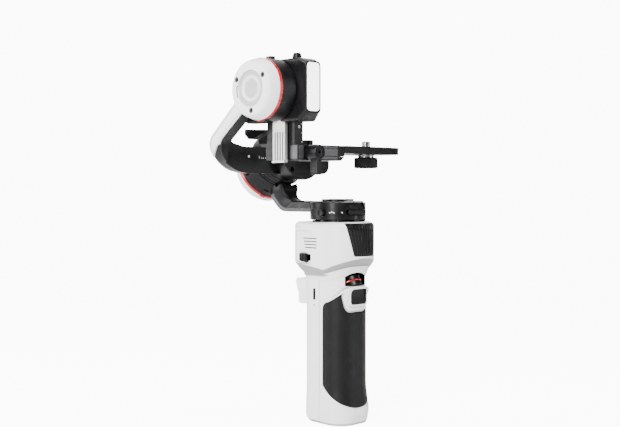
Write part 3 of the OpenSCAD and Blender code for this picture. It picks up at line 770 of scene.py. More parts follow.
def vent_line(i):
    """One of the slanting-ended vent slots on the left side."""
    z = 123.8 + 2.2 * i
    end = 12.5 + 0.6 * i
    outline = [(0.5, z), (end, z), (end + 0.2, z + 0.8), (0.5, z + 0.8)]
    return extrusion(rounded_polygon(outline, 0.3), "x", -30, -20.1)


def grille_row(v, columns=150, ribs=11):
    """One row of the grille's waves, at a share v of its height."""
    half = 9.6 + 5.1 * v
    height = smoothstep(v, 0.0, 0.06) * (1 - smoothstep(v, 0.8, 0.9))
    row = []
    for i in range(columns + 1):
        s = -1 + 2 * i / columns
        x = half * s
        wave = abs(math.sin(math.pi * ribs / 2 * s)) ** 0.7
        edge = smoothstep(1 - abs(s), 0.0, 0.05)
        sunk = 0.75 - 0.75 * wave * height * edge - 0.25 * (v > 0.9)
        row.append((x, NOSE_Y - math.sqrt(NOSE_R ** 2 - x ** 2) + sunk, 118.9 + 22.3 * v))
    return row


def vent_grille():
    """Ribbed black grille wrapped round the head's front, with a row of slots under its top edge."""
    rings = []
    for v in spread(0, 1, 26):
        row = grille_row(v)
        rings.append(row + [(x * 0.9, y + 2.4, z) for x, y, z in reversed(row)])
    outline = rounded((-0.5, 0.5), (-1.25, 1.25), 0.45, 4)
    slots = [moved(extrusion(outline, "y", -NOSE_R - 2, -NOSE_R + 1), y=NOSE_Y, z=139.2, turn=7 * i)
             for i in range(-4, 5)]
    piece("vent_grille", loft(rings), BLACK, "handle", "vent_grille", edge=0, cuts_with_painted_shade=slots)


def power_switch():
    """Sliding switch with upright ridges; its knob lies on the shell, its stem goes through the slot."""
    outline = rounded_polygon([(9.2, 113.6), (17, 114.8), (17, 120.2), (10.2, 120.2)], 0.8)
    grooves = [block((-23, -21.75), (10.2 + 1.6 * i, 10.9 + 1.6 * i), (112, 122)) for i in range(4)]
    stem = block((-20.9, -18.2), (10.3, 16.8), (115.2, 119.3))
    piece("power_switch", extrusion(outline, "x", -22.2, -20.62), BLACK, "power_key", "power_switch",
          edge=0.25, cuts=grooves, add=(stem,))


def display():
    bezel = extrusion(rounded((-14.9, 14.9), (119.1, 137.9), 2.2), "y", 21, 25.7)
    piece("display_bezel", bezel, SATIN, "handle", "display_panel", edge=0.4)
    window = extrusion(rounded((-13, 13), (121, 136), 1), "y", 25, 25.95)
    piece("display_window", window, GLASS, "handle", edge=0.2)


# ---------- pan motor and arm ----------

def round_z(turn, radius):
    """Frame at a place round the Z axis, its +X pointing out."""
    return Matrix.Rotation(math.radians(turn), 4, "Z") @ Matrix.Translation((radius, 0, 0))


def pan_feet():
    """Foot plate of the pan motor, with small tabs that show under the ring."""
    tabs = []
    for turn in (-130, -50, -90, 20, 90, 160):
        tab = extrusion(rounded((15, 19.2), (-2.5, 2.5), 0.6, 3), "z", 142.5, 143.8)
        tabs.append(moved(tab, turn=turn))
        tabs.append(moved(disc(0.8, 142.5, 143.9, steps=20), matrix=round_z(turn, 18.9)))
    ring = turned([(5, 142.4), (16.2, 142.4), (16.2, 143.8), (5, 143.8)])
    piece("pan_foot", merged([ring] + tabs), SATIN, "handle", "pan_stator", edge=0.15)


PAN_R = 19.9                  # outer radius of the pan motor's turning ring


def pan_rotor():
    """Turning ring with a line round it, a window in front and a lump on the +X side."""
    r, low, high = PAN_R, 144, 156.2
    line_r = r - 0.22
    profile = [(16.6, low), (r - 0.3, low), (r, low + 0.3), (r, 146.75), (line_r, 146.85),
               (line_r, 147.05), (r, 147.15), (r, high - 0.7), (r - 0.25, high - 0.25),
               (r - 0.8, high), (0, high), (0, 144.6), (4, 144.6), (4, 154), (16.6, 154)]
    window = rounded_polygon([(-10.1, 147), (10.1, 147), (10.1, 151.4), (5.75, 156), (-5.75, 156),
                              (-10.1, 151.4)], 0.9)
    slot = extrusion(rounded((-6.3, 8.7), (146.2, 151.7), 2.7), "x", -30, -18.3)
    lump = extrusion(rounded((14.6, 19.4), (-7.6, 1.5), 1.2, 4), "z", 153, 157.1)
    piece("pan_rotor", turned(profile), ANODISED, "pan", "pan_rotor", edge=0.25, angle=50,
          add=(lump,), cuts_with_painted_shade=(extrusion(window, "y", -30, -16.9), slot))
    dots = [mark_dot(PAN_R, turn, 149.2) for turn in (-128, -52)]
    dots += [mark_dot(PAN_R, turn, z, 0.5) for turn, z in ((207, 149), (211, 149.5), (215, 149))]
    piece("pan_marks", merged(dots), MARK, "pan", edge=0)


def mark_dot(radius, turn, z, size=0.45):
    return moved(disc(size, radius - 0.3, radius + 0.05, along("x"), 20), turn=turn, z=z)


def pan_lock():
    """Capsule-shaped lock with ridges across its front half."""
    cap = extrusion(rounded((-5.9, 5.9), (146.4, 151.5), 2.5), "x", -21.9, -18.5)
    hollows = [block((-23, -21.5), (1.2 + 1.3 * i, 1.7 + 1.3 * i), (145, 153)) for i in range(3)]
    hollows.append(disc(1.9, -1, 1, along("x", -22.5, -3.2, 148.95), 32))
    piece("pan_lock", cap, BLACK, "pan_catch", "pan_lock", edge=0.5, cuts=hollows)


def pan_lever():
    bar = extrusion(rounded((-8.8, 8.8), (147.7, 151.1), 1.55), "y", -19.5, -17.3)
    piece("pan_lever", bar, BLACK, "pan_release", "pan_lever", edge=0.7)


def pan_cover():
    """Domed cover, painted lighter grey as a highlight, with two thin dark plates on it."""
    dome = [(0, 156.2), (17.6, 156.2), (17.4, 156.45), (15, 156.95), (12, 157.35), (6, 157.6),
            (0, 157.65)]
    piece("pan_cover", turned(dome), HIGHLIGHT_GREY, "pan", "pan_cover", edge=0)
    outline = [(1.2, -8.4)] + arc(0, 0, 12.6, -42, 42, 16) + [(1.2, 8.4)]
    plates = [moved(extrusion(outline, "z", 157.2, 158.6), turn=turn) for turn in (20, 200)]
    piece("pan_plates", merged(plates), SATIN, "pan", edge=0.3)


def arm_path():
    """The pan arm's sections: outer and inner point, each (y, z), and half the width there."""
    outer = [(19, 149), (34, 149)] + arc(50, 162.5, 13.5, -90, 0, 14) + [(65.2, 172.5)]
    inner = [(19, 157), (34, 157)] + arc(39.1, 166.5, 9.5, -90, 0, 14) + [(52.6, 176.2)]
    sections = []
    for i, (low, high) in enumerate(zip(outer, inner)):
        share = i / (len(outer) - 1)
        half = 6.3 - 0.6 * smoothstep(share, 0, 0.4) + 3 * smoothstep(share, 0.5, 1.0)
        sections.append((half, low, high))
    return sections


def pan_arm():
    """Arm that leaves the ring's back, turns up and widens into the roll motor."""
    case_room = turned([(0, 82.6), (20.7, 82.6), (20.7, 120), (0, 120)], ROLL)
    rotor_room = turned([(0, 60), (23.2, 60), (23.2, 82.6), (0, 82.6)], ROLL)
    pan_room = disc(PAN_R + 0.1, 140, 156.2, steps=96)
    piece("pan_arm", loft([arm_section(*section) for section in arm_path()]), ANODISED, "pan",
          "pan_arm", edge=0, cuts=(case_room, rotor_room, pan_room))
    # painted highlight: lighter grey strips on the arm's chamfers
    strips = [loft([edge_section(side, *section) for section in arm_path()[:-2]]) for side in (-1, 1)]
    roll_room = turned([(0, 60), (23.2, 60), (23.2, 82.6), (20.7, 82.6), (20.7, 120), (0, 120)], ROLL)
    piece("pan_arm_edge", merged(strips), HIGHLIGHT_GREY, "pan", edge=0,
          cuts=(disc(PAN_R + 0.12, 140, 156.2, steps=96), roll_room))


def arm_section(half, low, high):
    """Cross-section from the arm's outer to its inner side, with a wide chamfer along the outer one."""
    shape = [(-half + 2.2, 0), (half - 2.2, 0), (half, 0.34), (half, 0.88), (half - 0.9, 1),
             (-half + 0.9, 1), (-half, 0.88), (-half, 0.34)]
    return [(x, *between(low, high, t)) for x, t in shape]


def edge_section(side, half, low, high):
    """Thin strip lying on the chamfer, painted lighter grey as a highlight."""
    corners = [(half - 2.2, -0.01), (half + 0.06, 0.32), (half - 0.4, 0.36), (half - 2.2, 0.1)]
    return [(side * x, *between(low, high, t)) for x, t in corners]


# ---------- motors ----------

BAR_Y = (45, 53)              # front and rear face of the roll arm's bar
CLAMP_Y = 35                  # front face of the clamp on it
KEY = (9, 40)                 # pivot of the clamp's lever
SIDE_X = (-75, -66.9)         # the arm's upright


def motor_case(z0, z1, r):
    """Outline of a motor's case: open below, with a thin floor at its outer end."""
    return [(17.4, z0), (r - 0.35, z0), (r, z0 + 0.35), (r, z1 - 0.2), (r - 0.2, z1), (5, z1),
            (5, z1 - 2), (17.4, z1 - 2)]


def motor_ring(z0, z1, r):
    return [(r - 3, z0), (r - 0.3, z0), (r, z0 + 0.3), (r, z1 - 0.3), (r - 0.3, z1), (r - 3, z1)]


def cap_profile(z0, z1, r, face, recess):
    """Domed shoulder, flat ring, then a shallow annular recess with soft steps."""
    wide, tall = r - face + 1, z1 - z0 - 0.6
    shoulder = [(face - 1 + wide * math.cos(turn), z0 + 0.6 + tall * math.sin(turn))
                for turn in spread(0, math.pi / 2, 10)]
    inner, outer = recess
    steps = [(outer + 0.7, 0), (outer + 0.2, 0.15), (outer, 0.7), (outer - 0.5, 0.9), (inner + 0.5, 0.9),
             (inner, 0.75), (inner - 0.3, 0.35), (inner - 0.9, 0.2), (0, 0.15), (0, 2.4), (face - 2, 2.4)]
    return ([(r - 2.2, z0), (r, z0)] + shoulder + [(x, z1 - deep) for x, deep in steps]
            + [(r - 2.2, z0 + 2)])


def lug(matrix, radius, turn, z0, z1, width=3.2):
    """Small clip on a motor's rim."""
    bm = extrusion(rounded((radius - 1.2, radius + 0.9), (-width / 2, width / 2), 0.5, 3), "z", z0, z1)
    return moved(bm, turn=turn, matrix=matrix)


def in_frame(shapes, matrix):
    """The same shapes, moved into a frame."""
    return [moved(bm, matrix=matrix) for bm in shapes]


def roll_motor():
    """Case, red ring with three clips, and white cap of the roll motor."""
    slot = extrusion(rounded((-3.3, 3.3), (85.4, 94.2), 1.5), "x", -30, -18.6)
    clip_turns = (0, 62, 118)
    clips = [lug(ROLL, 20.5, turn, 91.5, 95.9, 4) for turn in clip_turns]
    piece("roll_housing", turned(motor_case(82.7, 96, 20.5), ROLL), ANODISED, "pan", "roll_housing",
          edge=0.12, angle=50, add=clips, cuts_with_painted_shade=in_frame([slot], ROLL))
    red_clips = [lug(ROLL, 20.9, turn, 96.05, 98.1, 4.6) for turn in clip_turns]
    piece("roll_ring", turned(motor_ring(96, 98.2, 21.0), ROLL), RED, "pan", "roll_ring", edge=0.12,
          angle=50, add=red_clips)
    piece("roll_cap", turned(cap_profile(98.2, 105.6, 20.7, 15.4, (7, 10)), ROLL), CAP_WHITE, "pan",
          "roll_cap", edge=0)


def roll_lock():
    key = extrusion(rounded((-3, 3), (87.2, 93.8), 1.2), "x", -22, -18.8)
    grooves = [block((-24, -21.6), (-4, 4), (88.4 + 1.5 * i, 88.9 + 1.5 * i)) for i in range(4)]
    piece("roll_lock", moved(key, matrix=ROLL), BLACK, "roll_catch", "roll_lock", edge=0.35,
          cuts=in_frame(grooves, ROLL))


def roll_rotor():
    """Turning disc with a groove round its rim and marks on it, on a hollow skirt and a shaft."""
    profile = [(0, 79), (20.2, 79), (20.5, 79.3), (20.5, 80.5), (20.3, 80.6), (20.3, 80.8),
               (20.5, 80.9), (20.5, 82.1), (20.2, 82.4), (16.8, 82.4), (16.8, 91.9), (14.6, 91.9),
               (14.6, 83.6), (4, 83.6), (4, 93.4), (0, 93.4)]
    piece("roll_rotor", turned(profile, ROLL), ANODISED, "roll", "roll_rotor", edge=0)
    ticks = [moved(block((20.45, 20.54), (-0.2, 0.2), (79.6, 80.3)), turn=turn, matrix=ROLL)
             for turn in (75, 81, 87, 150, 153, 210)]
    piece("roll_marks", merged(ticks), MARK, "roll", edge=0)


def roll_clamp():
    """Clamp that holds the arm's bar against the roll motor's flange."""
    flange = [(0, 70.3), (21.0, 70.3), (21.6, 70.9), (21.6, 74.4), (21.3, 74.6), (21.3, 74.9),
              (21.6, 75.1), (21.6, 78.5), (21.1, 79), (0, 79)]
    obj = as_object("roll_clamp", extrusion(rounded((-18.9, 18.9), (CLAMP_Y, 66), 1.6, 4), "z", 170, 199),
                    ANODISED)
    combine(obj, moved(disc(21.6, CLAMP_Y - 1, 70, along("y"), 96), z=194), "INTERSECT")
    combine(obj, disc(70, 79, 150, ROLL), "DIFFERENCE")
    combine(obj, turned(flange, ROLL), "UNION")
    combine(obj, block((-60, 60), (BAR_Y[0] - 0.15, BAR_Y[1] + 0.15), (176.85, 196.15)), "DIFFERENCE")
    holes = [disc(1.9, CLAMP_Y - 1, CLAMP_Y + 3, along("y", x, 0, 180), 24) for x in (-11.5, 11.5)]
    holes.append(moved(disc(2.03, 190, 206, steps=32), x=KEY[0], y=KEY[1]))
    holes.append(moved(extrusion(rounded((-0.55, 0.55), (-3.6, 3.6), 0.5), "y", -1.2, 1.2),
                       turn=-52, axis="Y", x=-2, y=CLAMP_Y, z=189.3))
    # painted shade: the holes' walls get the black satin finish in place of their shade
    for shape in holes:
        combine(obj, shape, "DIFFERENCE", SATIN)
    soften(obj, 0.45, angle=40)
    finished(obj)
    attach(obj, ANODISED, "roll", "roll_clamp")
    clamp_marks()


def clamp_marks():
    """A pointer between two dots at each end of the clamp's front."""
    low, high = CLAMP_Y - 0.06, CLAMP_Y + 0.1
    marks = []
    for x in (-10, 9.4):
        marks.append(moved(extrusion([(-0.9, 0), (0.6, -0.9), (0.6, 0.9)], "y", low, high), x=x, z=189))
        marks += [disc(0.45, low, high, along("y", x + 0.2, 0, z), 20) for z in (186.6, 191.4)]
    piece("clamp_marks", merged(marks), MARK, "roll", edge=0)


def roll_clamp_lever():
    """Flip lever on the clamp's top."""
    paddle = rounded_polygon([(4.4, -2.6), (4.4, 2.6), (-12, 2.2), (-22, 3), (-22, -2.6), (-12, -2.2)],
                             1.6)
    bar, boss, shaft, hexagon = in_frame(
        [extrusion(paddle, "z", 199.25, 201.7), disc(4, 199.25, 202.1), disc(2, 191, 199.4),
         disc(1.2, 201.3, 203, steps=6)], Matrix.Translation((*KEY, 0)))
    piece("roll_clamp_lever", boss, BLACK, "roll_clamp_key", "roll_clamp_lever", edge=0.35,
          add=(bar, shaft), cuts_with_painted_shade=(hexagon,))


# ---------- roll arm and tilt motor ----------

ARM_HEEL = arc(40, 194.5, 13, 0, 50.3, 14)    # rear corner of the arm, seen from the side


def arm_outline():
    """Side outline of the arm's upright, from the bar up and forward to the tilt motor."""
    elbow = rounded_polygon([(20, 214.3), (40.4, 198), (BAR_Y[0], 183)], [0, 16, 0], 8)[9:18]
    return [(2, 228.6)] + elbow + [(BAR_Y[0], 177), (BAR_Y[1], 177)] + ARM_HEEL + [(8, 240.3)]


def inset(points, distance):
    """Polygon drawn anticlockwise, with every side moved inwards."""
    result = []
    for i, point in enumerate(points):
        here = Vector(point)
        back = (here - Vector(points[i - 1])).normalized()
        ahead = (Vector(points[(i + 1) % len(points)]) - here).normalized()
        first, second = Vector((-back.y, back.x)), Vector((-ahead.y, ahead.x))
        mitre = first + second
        result.append(tuple(here + mitre * distance / mitre.dot(first)))
    return result


def bend(out, end=90, steps=36):
    """The arm's outer curve seen from the front, from the upright round to the bar's lower face."""
    round_part = [(-45 - (30 + out) * math.cos(t), 201 - (24 + out) * math.sin(t))
                  for t in spread(0, math.radians(end), steps)]
    return [(SIDE_X[0] - out, 262)] + round_part


def roll_arm():
    """Bar behind the clamp that bends up into the tilt motor's arm, with a scale along the bar."""
    outline = rounded_polygon([(SIDE_X[0], 177), (37.5, 177), (37.5, 196), (-50, 196), (-61, 198.5),
                               (SIDE_X[1], 206), (SIDE_X[0], 206)], [0.1, 7.6, 0.8, 6, 8, 0.1, 0.1], 7)
    upright = extrusion(arm_outline(), "x", *SIDE_X)
    behind = extrusion([(BAR_Y[1], 190), *ARM_HEEL, (8, 240.3), (90, 240.3), (90, 190)], "x", -90, 60)
    waste = extrusion(bend(0) + [(60, 177), (60, 150), (-90, 150), (-90, 262)], "y", -45, 90)
    motor_room = disc(20.85, 50, 100, TILT, 96)
    step = block((-48, 39), (BAR_Y[0] - 1, BAR_Y[0] + 1), (187, 200))
    shelf = moved(block((-80, 39), (-1.2, 1.2), (-1.2, 1.2)), y=BAR_Y[1], z=177, turn=45, axis="X")
    piece("roll_arm", extrusion(outline, "y", *BAR_Y), ANODISED, "arm", "roll_arm", edge=0.55, angle=40,
          add=(upright,), cuts=(waste, behind, step, shelf, motor_room))
    face = (BAR_Y[0] + 0.92, BAR_Y[0] + 1.04)
    marks = [block((2 * i - 34.12, 2 * i - 33.88), face, (187.6, 188.7 if i % 5 else 189.5))
             for i in range(31)]
    marks.append(disc(0.8, *face, along("y", -44, 0, 189), 24))
    piece("arm_scale", merged(marks), MARK, "arm", edge=0)


def arm_sheet(name, material, layer, end, margin, cuts, *nodes, edge=0.0):
    """Thin layer on the arm's outer face: between two stand-offs, round to an angle, inside a margin."""
    sheet = bend(layer[1], end) + list(reversed(bend(layer[0], end)))
    piece(name, extrusion(sheet, "y", -14, 60), material, "arm", *nodes, edge=edge, angle=40,
          keep=(arm_side(margin),), cuts=cuts)


def arm_side(margin):
    """Everything within the arm's side outline, less a margin."""
    return extrusion(inset(arm_outline(), margin), "x", -90, -50)


def bar_corner(drop):
    """Cutter for the sheet's lower end, where it meets the bar."""
    return extrusion([(30, 150), (60, 150), (60, 183 - drop), (44, 198 - drop), (30, 202 - drop)],
                     "x", -90, -50)


def arm_trim():
    """White plate that follows the arm's outer face round its bend, with a fine grey border line."""
    arm_sheet("arm_trim", WHITE, (-0.02, 1.25), 56, 0.8, (disc(21.1, 50, 100, TILT, 96), bar_corner(2)),
              "arm_trim", edge=0.35)
    arm_sheet("trim_line", DARK_MARK, (1.2, 1.31), 52, 2.1,
              (arm_side(2.4), disc(24, 50, 100, TILT, 96), bar_corner(0)))


CAP_SCREWS = (64, 184, 304)   # degrees round the tilt cap, from straight up towards the rear


def tilt_cap_profile():
    """Wide flat rim round two shallow steps."""
    z0, z1, r = 81.6, 89.5, 20.5
    face = [(17.0, 0), (12.4, 0), (12.1, 0.15), (11.9, 1.1), (11.5, 1.25), (9.3, 1.25), (8.9, 1.0),
            (8.4, 0.2), (7.6, 0.25), (6.9, 1.0), (6.4, 1.15), (0, 1.15), (0, 2.6), (15.2, 2.6)]
    return ([(r - 2.2, z0), (r, z0), (r, z0 + 0.5), (20.1, 83.8), (19.4, 86.6), (18.5, 88.6),
             (17.9, 89.2)] + [(x, z1 - deep) for x, deep in face] + [(r - 2.2, z0 + 2)])


def tilt_motor():
    """Case and red ring of the tilt motor, with the slot for its lock."""
    slot = block((-75.2, -68.6), (TILT_Y - 2.7, TILT_Y + 2.7), (250.2, 260))
    groove = moved(block((-0.3, 0.3), (-4.4, 0), (20.3, 22)), matrix=tilt_side(52, 78.4))
    pits = [turned([(0, 19.9), (r, 19.9), (r, 23), (0, 23)], tilt_side(52, height), 24)
            for r, height in ((0.9, 73.8), (1.1, 80.4))]
    piece("tilt_housing", turned(motor_case(66.5, 79, 20.8), TILT), ANODISED, "arm", "tilt_housing",
          edge=0.12, angle=50, cuts_with_painted_shade=(slot, groove, pits[0]))
    piece("tilt_ring", turned(motor_ring(79, 81.6, 20.8), TILT), RED, "arm", "tilt_ring", edge=0.12,
          angle=50, add=(lug(TILT, 20.3, 180, 79.05, 81.5),), cuts_with_painted_shade=(pits[1],))


def tilt_cap():
    """White cap with three screws; the floors of its steps are painted grey as shade."""
    holes = [moved(disc(1.9, 80, 100, steps=24), matrix=screw_frame(turn)) for turn in CAP_SCREWS]
    piece("tilt_cap", turned(tilt_cap_profile(), TILT), CAP_WHITE, "arm", "tilt_cap", edge=0,
          cuts=holes + [turned_sector(11.9, 13.6, 88.7, 90, 80, 116)])
    # painted shade: grey discs laid on the recess floors
    floors = [turned([(9.25, 88.0), (11.55, 88.0), (11.55, 88.35), (9.25, 88.35)], TILT),
              turned([(0, 88.0), (6.3, 88.0), (6.3, 88.4), (0, 88.4)], TILT)]
    piece("cap_recess_painted_shade", merged(floors), CAP_PAINTED_SHADE, "arm", "tilt_cap", edge=0)
    head = [(0.75, 87.1), (1.85, 87.1), (1.85, 88.9), (1.6, 89.2), (0.75, 89.2)]
    screws = []
    for turn in CAP_SCREWS:
        screws += [turned(head, screw_frame(turn), 24),
                   moved(disc(0.78, 87.1, 87.9, steps=24), matrix=screw_frame(turn))]
    piece("cap_screws", merged(screws), SATIN, "arm", "cap_screws", edge=0)


def tilt_lock():
    key = block((-73, -69), (TILT_Y - 2.5, TILT_Y + 2.5), (250.4, 254.1))
    grooves = [block((x, x + 0.5), (TILT_Y - 4, TILT_Y + 4), (253.8, 255)) for x in (-72.2, -70.9)]
    piece("tilt_lock", key, BLACK, "tilt_catch", "tilt_lock", edge=0.5, cuts=grooves)


def screw_frame(turn):
    return TILT @ round_z(turn, 14.6)


def tilt_side(turn, height):
    """Frame on the tilt motor's rim, its +Z pointing out, turn degrees from straight up to the rear."""
    return (TILT @ Matrix.Rotation(math.radians(180 + turn), 4, "Z")
            @ Matrix.Translation((0, 0, height)) @ Matrix.Rotation(math.radians(-90), 4, "Y"))


def turned_sector(r0, r1, z0, z1, start, end):
    """Part of a ring round the tilt axis."""
    outline = arc(0, 0, r1, start, end, 12) + list(reversed(arc(0, 0, r0, start, end, 12)))
    return moved(extrusion(outline, "z", z0, z1), matrix=TILT)


# ---------- light box and camera mount ----------

KNOB = (-59.5, -19)           # axis of the knob on the light box


def light_box():
    """Housing of the fill light: bevelled front, open rear channel for the rail."""
    sections = [(-32, (-64, -50.3), (215.6, 250.2), 3.4), (-31.6, (-64, -50.3), (215.6, 250.2), 3.4),
                (-26, (-66.2, -49), (210.6, 252.3), 2.2), (24.5, (-66.2, -49), (210.6, 252.3), 2.2),
                (27.5, (-65, -50.4), (212, 251), 2), (31, (-64.4, -51), (214, 249), 2)]
    rings = []
    for y, (x0, x1), (z0, z1), radius in sections:
        shape = rounded_polygon([(x0, z0), (x1, z0), (x1, z1), (x0, z1)], radius, 5)
        rings.append([(x, y, z) for x, z in shape])
    window = extrusion(rounded((-62.9, -51.5), (217.1, 249.2), 2.7), "y", -34, -30.6)
    channel = block((-57.8, -40), (-15.2, 12.7), (200, 260))
    latch_room = block((-57.8, -40), (12.6, 40), (200, 230))
    lever_room = block((-66.5, -57.8), (-9.2, 3.7), (200, 216.8))
    knob_room = turned([(0, 240), (1.35, 240), (1.35, 249.3), (3.5, 250), (3.7, 260), (0, 260)], None, 32)
    piece("light_box", loft(rings), ANODISED, "tilt", "light_box", edge=0.3, angle=28,
          cuts=(window, channel, latch_room, lever_room, moved(knob_room, *KNOB)))
    panel = extrusion(rounded((-62.8, -51.6), (217.2, 249.1), 2.65), "y", -32.35, -30.7)
    piece("light_panel", panel, LIGHT, "tilt", "light_panel", edge=0.5)


def latch_barrel(radius, low, high):
    """Barrel of the rear latch, or the groove for it."""
    return disc(radius, low, high, along("x", 0, 12.7, 205), 32)


def rail():
    """Upright rail with a scale on its front edge."""
    side_slot = extrusion(rounded((-9.5, 7), (200, 236), 1.5), "x", -51, -49)
    piece("tilt_rail", extrusion(rounded((-57.6, -49.8), (-15, 12.5), 0.6, 4), "z", 195.7, 240), ANODISED,
          "mount", "tilt_rail", edge=0.3, cuts=(latch_barrel(1.45, -60, -40), side_slot))
    face = (-15.06, -14.9)
    marks = []
    for i in range(12):
        z = 197.4 + 3 * i
        marks.append(block((-51.1 if i % 2 else -51.7, -50.2), face, (z - 0.13, z + 0.13)))
    marks.append(turned([(0.65, face[0]), (0.95, face[0]), (0.95, face[1]), (0.65, face[1])],
                        along("y", -53.6, 0, 207.4), 32))
    piece("rail_scale", merged(marks), MARK, "mount", edge=0)


def rail_lever():
    """Satin lever with four grooves over its lower part and a lip at its end."""
    y_range = (-8.6, 3.1)
    lip_part = block((-61.7, -58.3), y_range, (183.4, 184.7))
    barrel = disc(1.3, *y_range, along("y", -59.6, 0, 213.6), 32)
    grooves = [extrusion(rounded((y, y + 1.15), (185.2, 204), 0.55, 4), "x", -62, -60.35)
               for y in (-7.15, -4.7, -2.25, 0.2)]
    piece("rail_lever", block((-60.9, -58.3), y_range, (184.4, 213.6)), SILVER, "rail_key", "rail_lever",
          edge=0.22, add=(lip_part, barrel), cuts=grooves, angle=40)


def rail_knob():
    profile = [(0, 243), (1.3, 243), (1.3, 249.6), (1.7, 250.4), (2.5, 250.9), (3.05, 251.7),
               (3.2, 252.6), (3.1, 253.8), (2.8, 255), (2.45, 255.9), (1.9, 256.3), (0, 256.4)]
    piece("rail_knob", moved(turned(profile, None, 48), *KNOB), BLACK, "top_knob", "rail_knob", edge=0)


def latch_lever():
    outline = rounded_polygon([(13.4, 206.4), (36, 207.4), (36, 203.8), (32.1, 200.4), (27.5, 200.4),
                               (20, 203.3), (13.4, 203.8)], [0.3, 0.8, 1, 1, 1.2, 3, 0.3])
    piece("latch_lever", extrusion(outline, "x", -57, -50.4), BLACK, "latch", "latch_lever", edge=0.4,
          add=(latch_barrel(1.4, -57, -50.4),), angle=40)


BASE_Z = (185.2, 195.7)       # lower and upper face of the camera's base
LEVER_X, LEVER_Z = -46.7, 190.4    # axis of the base's cam lever
SCREW = (27.7, -2)            # axis of the camera screw
PAD_X = (-6, 10, 36)          # left edges of the plate's pads


def lever_axis(x=LEVER_X, z=LEVER_Z):
    """Frame along Y, on the cam lever's axis unless another place is given."""
    return along("y", x, 0, z)


def camera_base():
    """Clamp base under the camera, in two blocks whose front faces are painted lighter grey as
    highlights.
    """
    left = extrusion(rounded((-57.6, -40.5), (-18, 14), 0.5, 3), "z", *BASE_Z)
    right = block((-40.7, -12.2), (-17.5, 14), BASE_Z)
    gutter = block((-40.75, -40.1), (-19, -16.9), (184, 197))
    channel = block((-34.3, -10), (-30, 30), (188.1, 193.8))
    lower = extrusion([(-12, 185), (-15.5, 185), (-12, 187.6)], "y", -30, 30)
    piece("camera_base", left, ANODISED, "mount", "camera_base", edge=0.35, angle=40, add=(right,),
          cuts=(channel, disc(2.05, -19, -6, lever_axis(), 32), gutter, lower))
    left_face, right_face, tall = (-18.05, -17.8), (-17.55, -17.3), (186, 194.9)
    faces = [block((-56.9, -52.4), left_face, tall), block((-39.6, -34.4), right_face, tall),
             block((-34.4, -18.8), right_face, (186, 188)),
             block((-34.4, -18.8), right_face, (193.9, 194.9)),
             block((-57.66, -57.4), (-17.2, -10.6), tall)]
    # painted highlight: lighter grey front faces of the base
    piece("base_faces", merged(faces), HIGHLIGHT_GREY, "mount", edge=0.05)


def base_lever():
    """Cam lever: a barrel with turned rings on its face, and a hanging handle."""
    face = [(0, -18.25), (5, -18.25), (5, -27.4), (4.6, -28), (4.1, -28), (4.0, -27.6), (3.5, -27.6),
            (3.4, -28), (2.9, -28), (2.8, -27.6), (2.3, -27.5), (1.3, -27.5), (1.3, -26.4), (0, -26.4)]
    left, right = LEVER_X - 2.15, LEVER_X + 2.15
    outline = rounded_polygon([(left, 187), (right, 187), (right, 175.1), (left, 175.1)],
                              [0.2, 0.2, 1.6, 1.6])
    dimples = [disc(0.5, -28, -27.1, lever_axis(z=z), 20) for z in (184.4, 177.4)]
    piece("base_lever", turned(face, lever_axis(), 64), BLACK, "base_key", "base_lever", edge=0.18,
          add=(disc(2, -18.4, -7, lever_axis(), 32), extrusion(outline, "y", -27.3, -20.9)),
          cuts_with_painted_shade=dimples, angle=50)


def camera_plate():
    """Quick-release plate: slanted left end, dovetail below, ribbed rubber pads on top."""
    outline = rounded_polygon([(-12, 190.6), (46.1, 190.6), (46.1, 195.9), (-9.9, 195.9), (-12, 193)],
                              [0.2, 0.6, 0.6, 0.4, 0.2])
    dovetail = block((-34, -11.9), (-17.5, 17.5), (188.3, 193.6))
    cuts = [block((x, x + 5), (-15, 15), (195.5, 198)) for x in PAD_X]
    cuts.insert(0, moved(disc(3.3, 180, 200), *SCREW))
    piece("camera_plate", extrusion(outline, "y", -17.5, 17.5), ANODISED, "plate", "camera_plate",
          edge=0.4, add=(dovetail,), cuts=cuts, angle=40)
    tongue = block((-33.9, -18.8), (-17.62, -17.4), (188.4, 193.5))
    # painted highlight: the dovetail's front face in lighter grey
    piece("tongue_face", tongue, HIGHLIGHT_GREY, "plate", edge=0.05)
    ribs = [extrusion(rounded((x + 0.15, x + 4.85), (y, y + 5.6), 0.6, 3), "z", 195.45, 196.05)
            for x in PAD_X for y in (-14.8, -8.8, -2.8, 3.2, 9.2)]
    piece("plate_pads", merged(ribs), PAD, "plate", edge=0.15)


def screw_head(low, high, radius=8.55, teeth=42, points=288):
    """Rounded disc whose rim carries two crossed sets of slanting teeth, which give diamonds."""
    heights = ([low, low + 0.25, low + 0.7] + spread(low + 0.8, high - 0.8, 24)
               + [high - 0.7, high - 0.25, high])
    rings = []
    for z in heights:
        tuck = max(0.7 - min(z - low, high - z), 0)
        pitch = (z - low) / 8.7
        ring = []
        for i in range(points):
            turn = 2 * math.pi * i / points
            wave = (math.cos(teeth * (turn + pitch)) + math.cos(teeth * (turn - pitch))) / 2
            r = radius + 0.15 * wave * (tuck == 0) - tuck
            ring.append((SCREW[0] + r * math.cos(turn), SCREW[1] + r * math.sin(turn), z))
        rings.append(ring)
    return loft(rings)


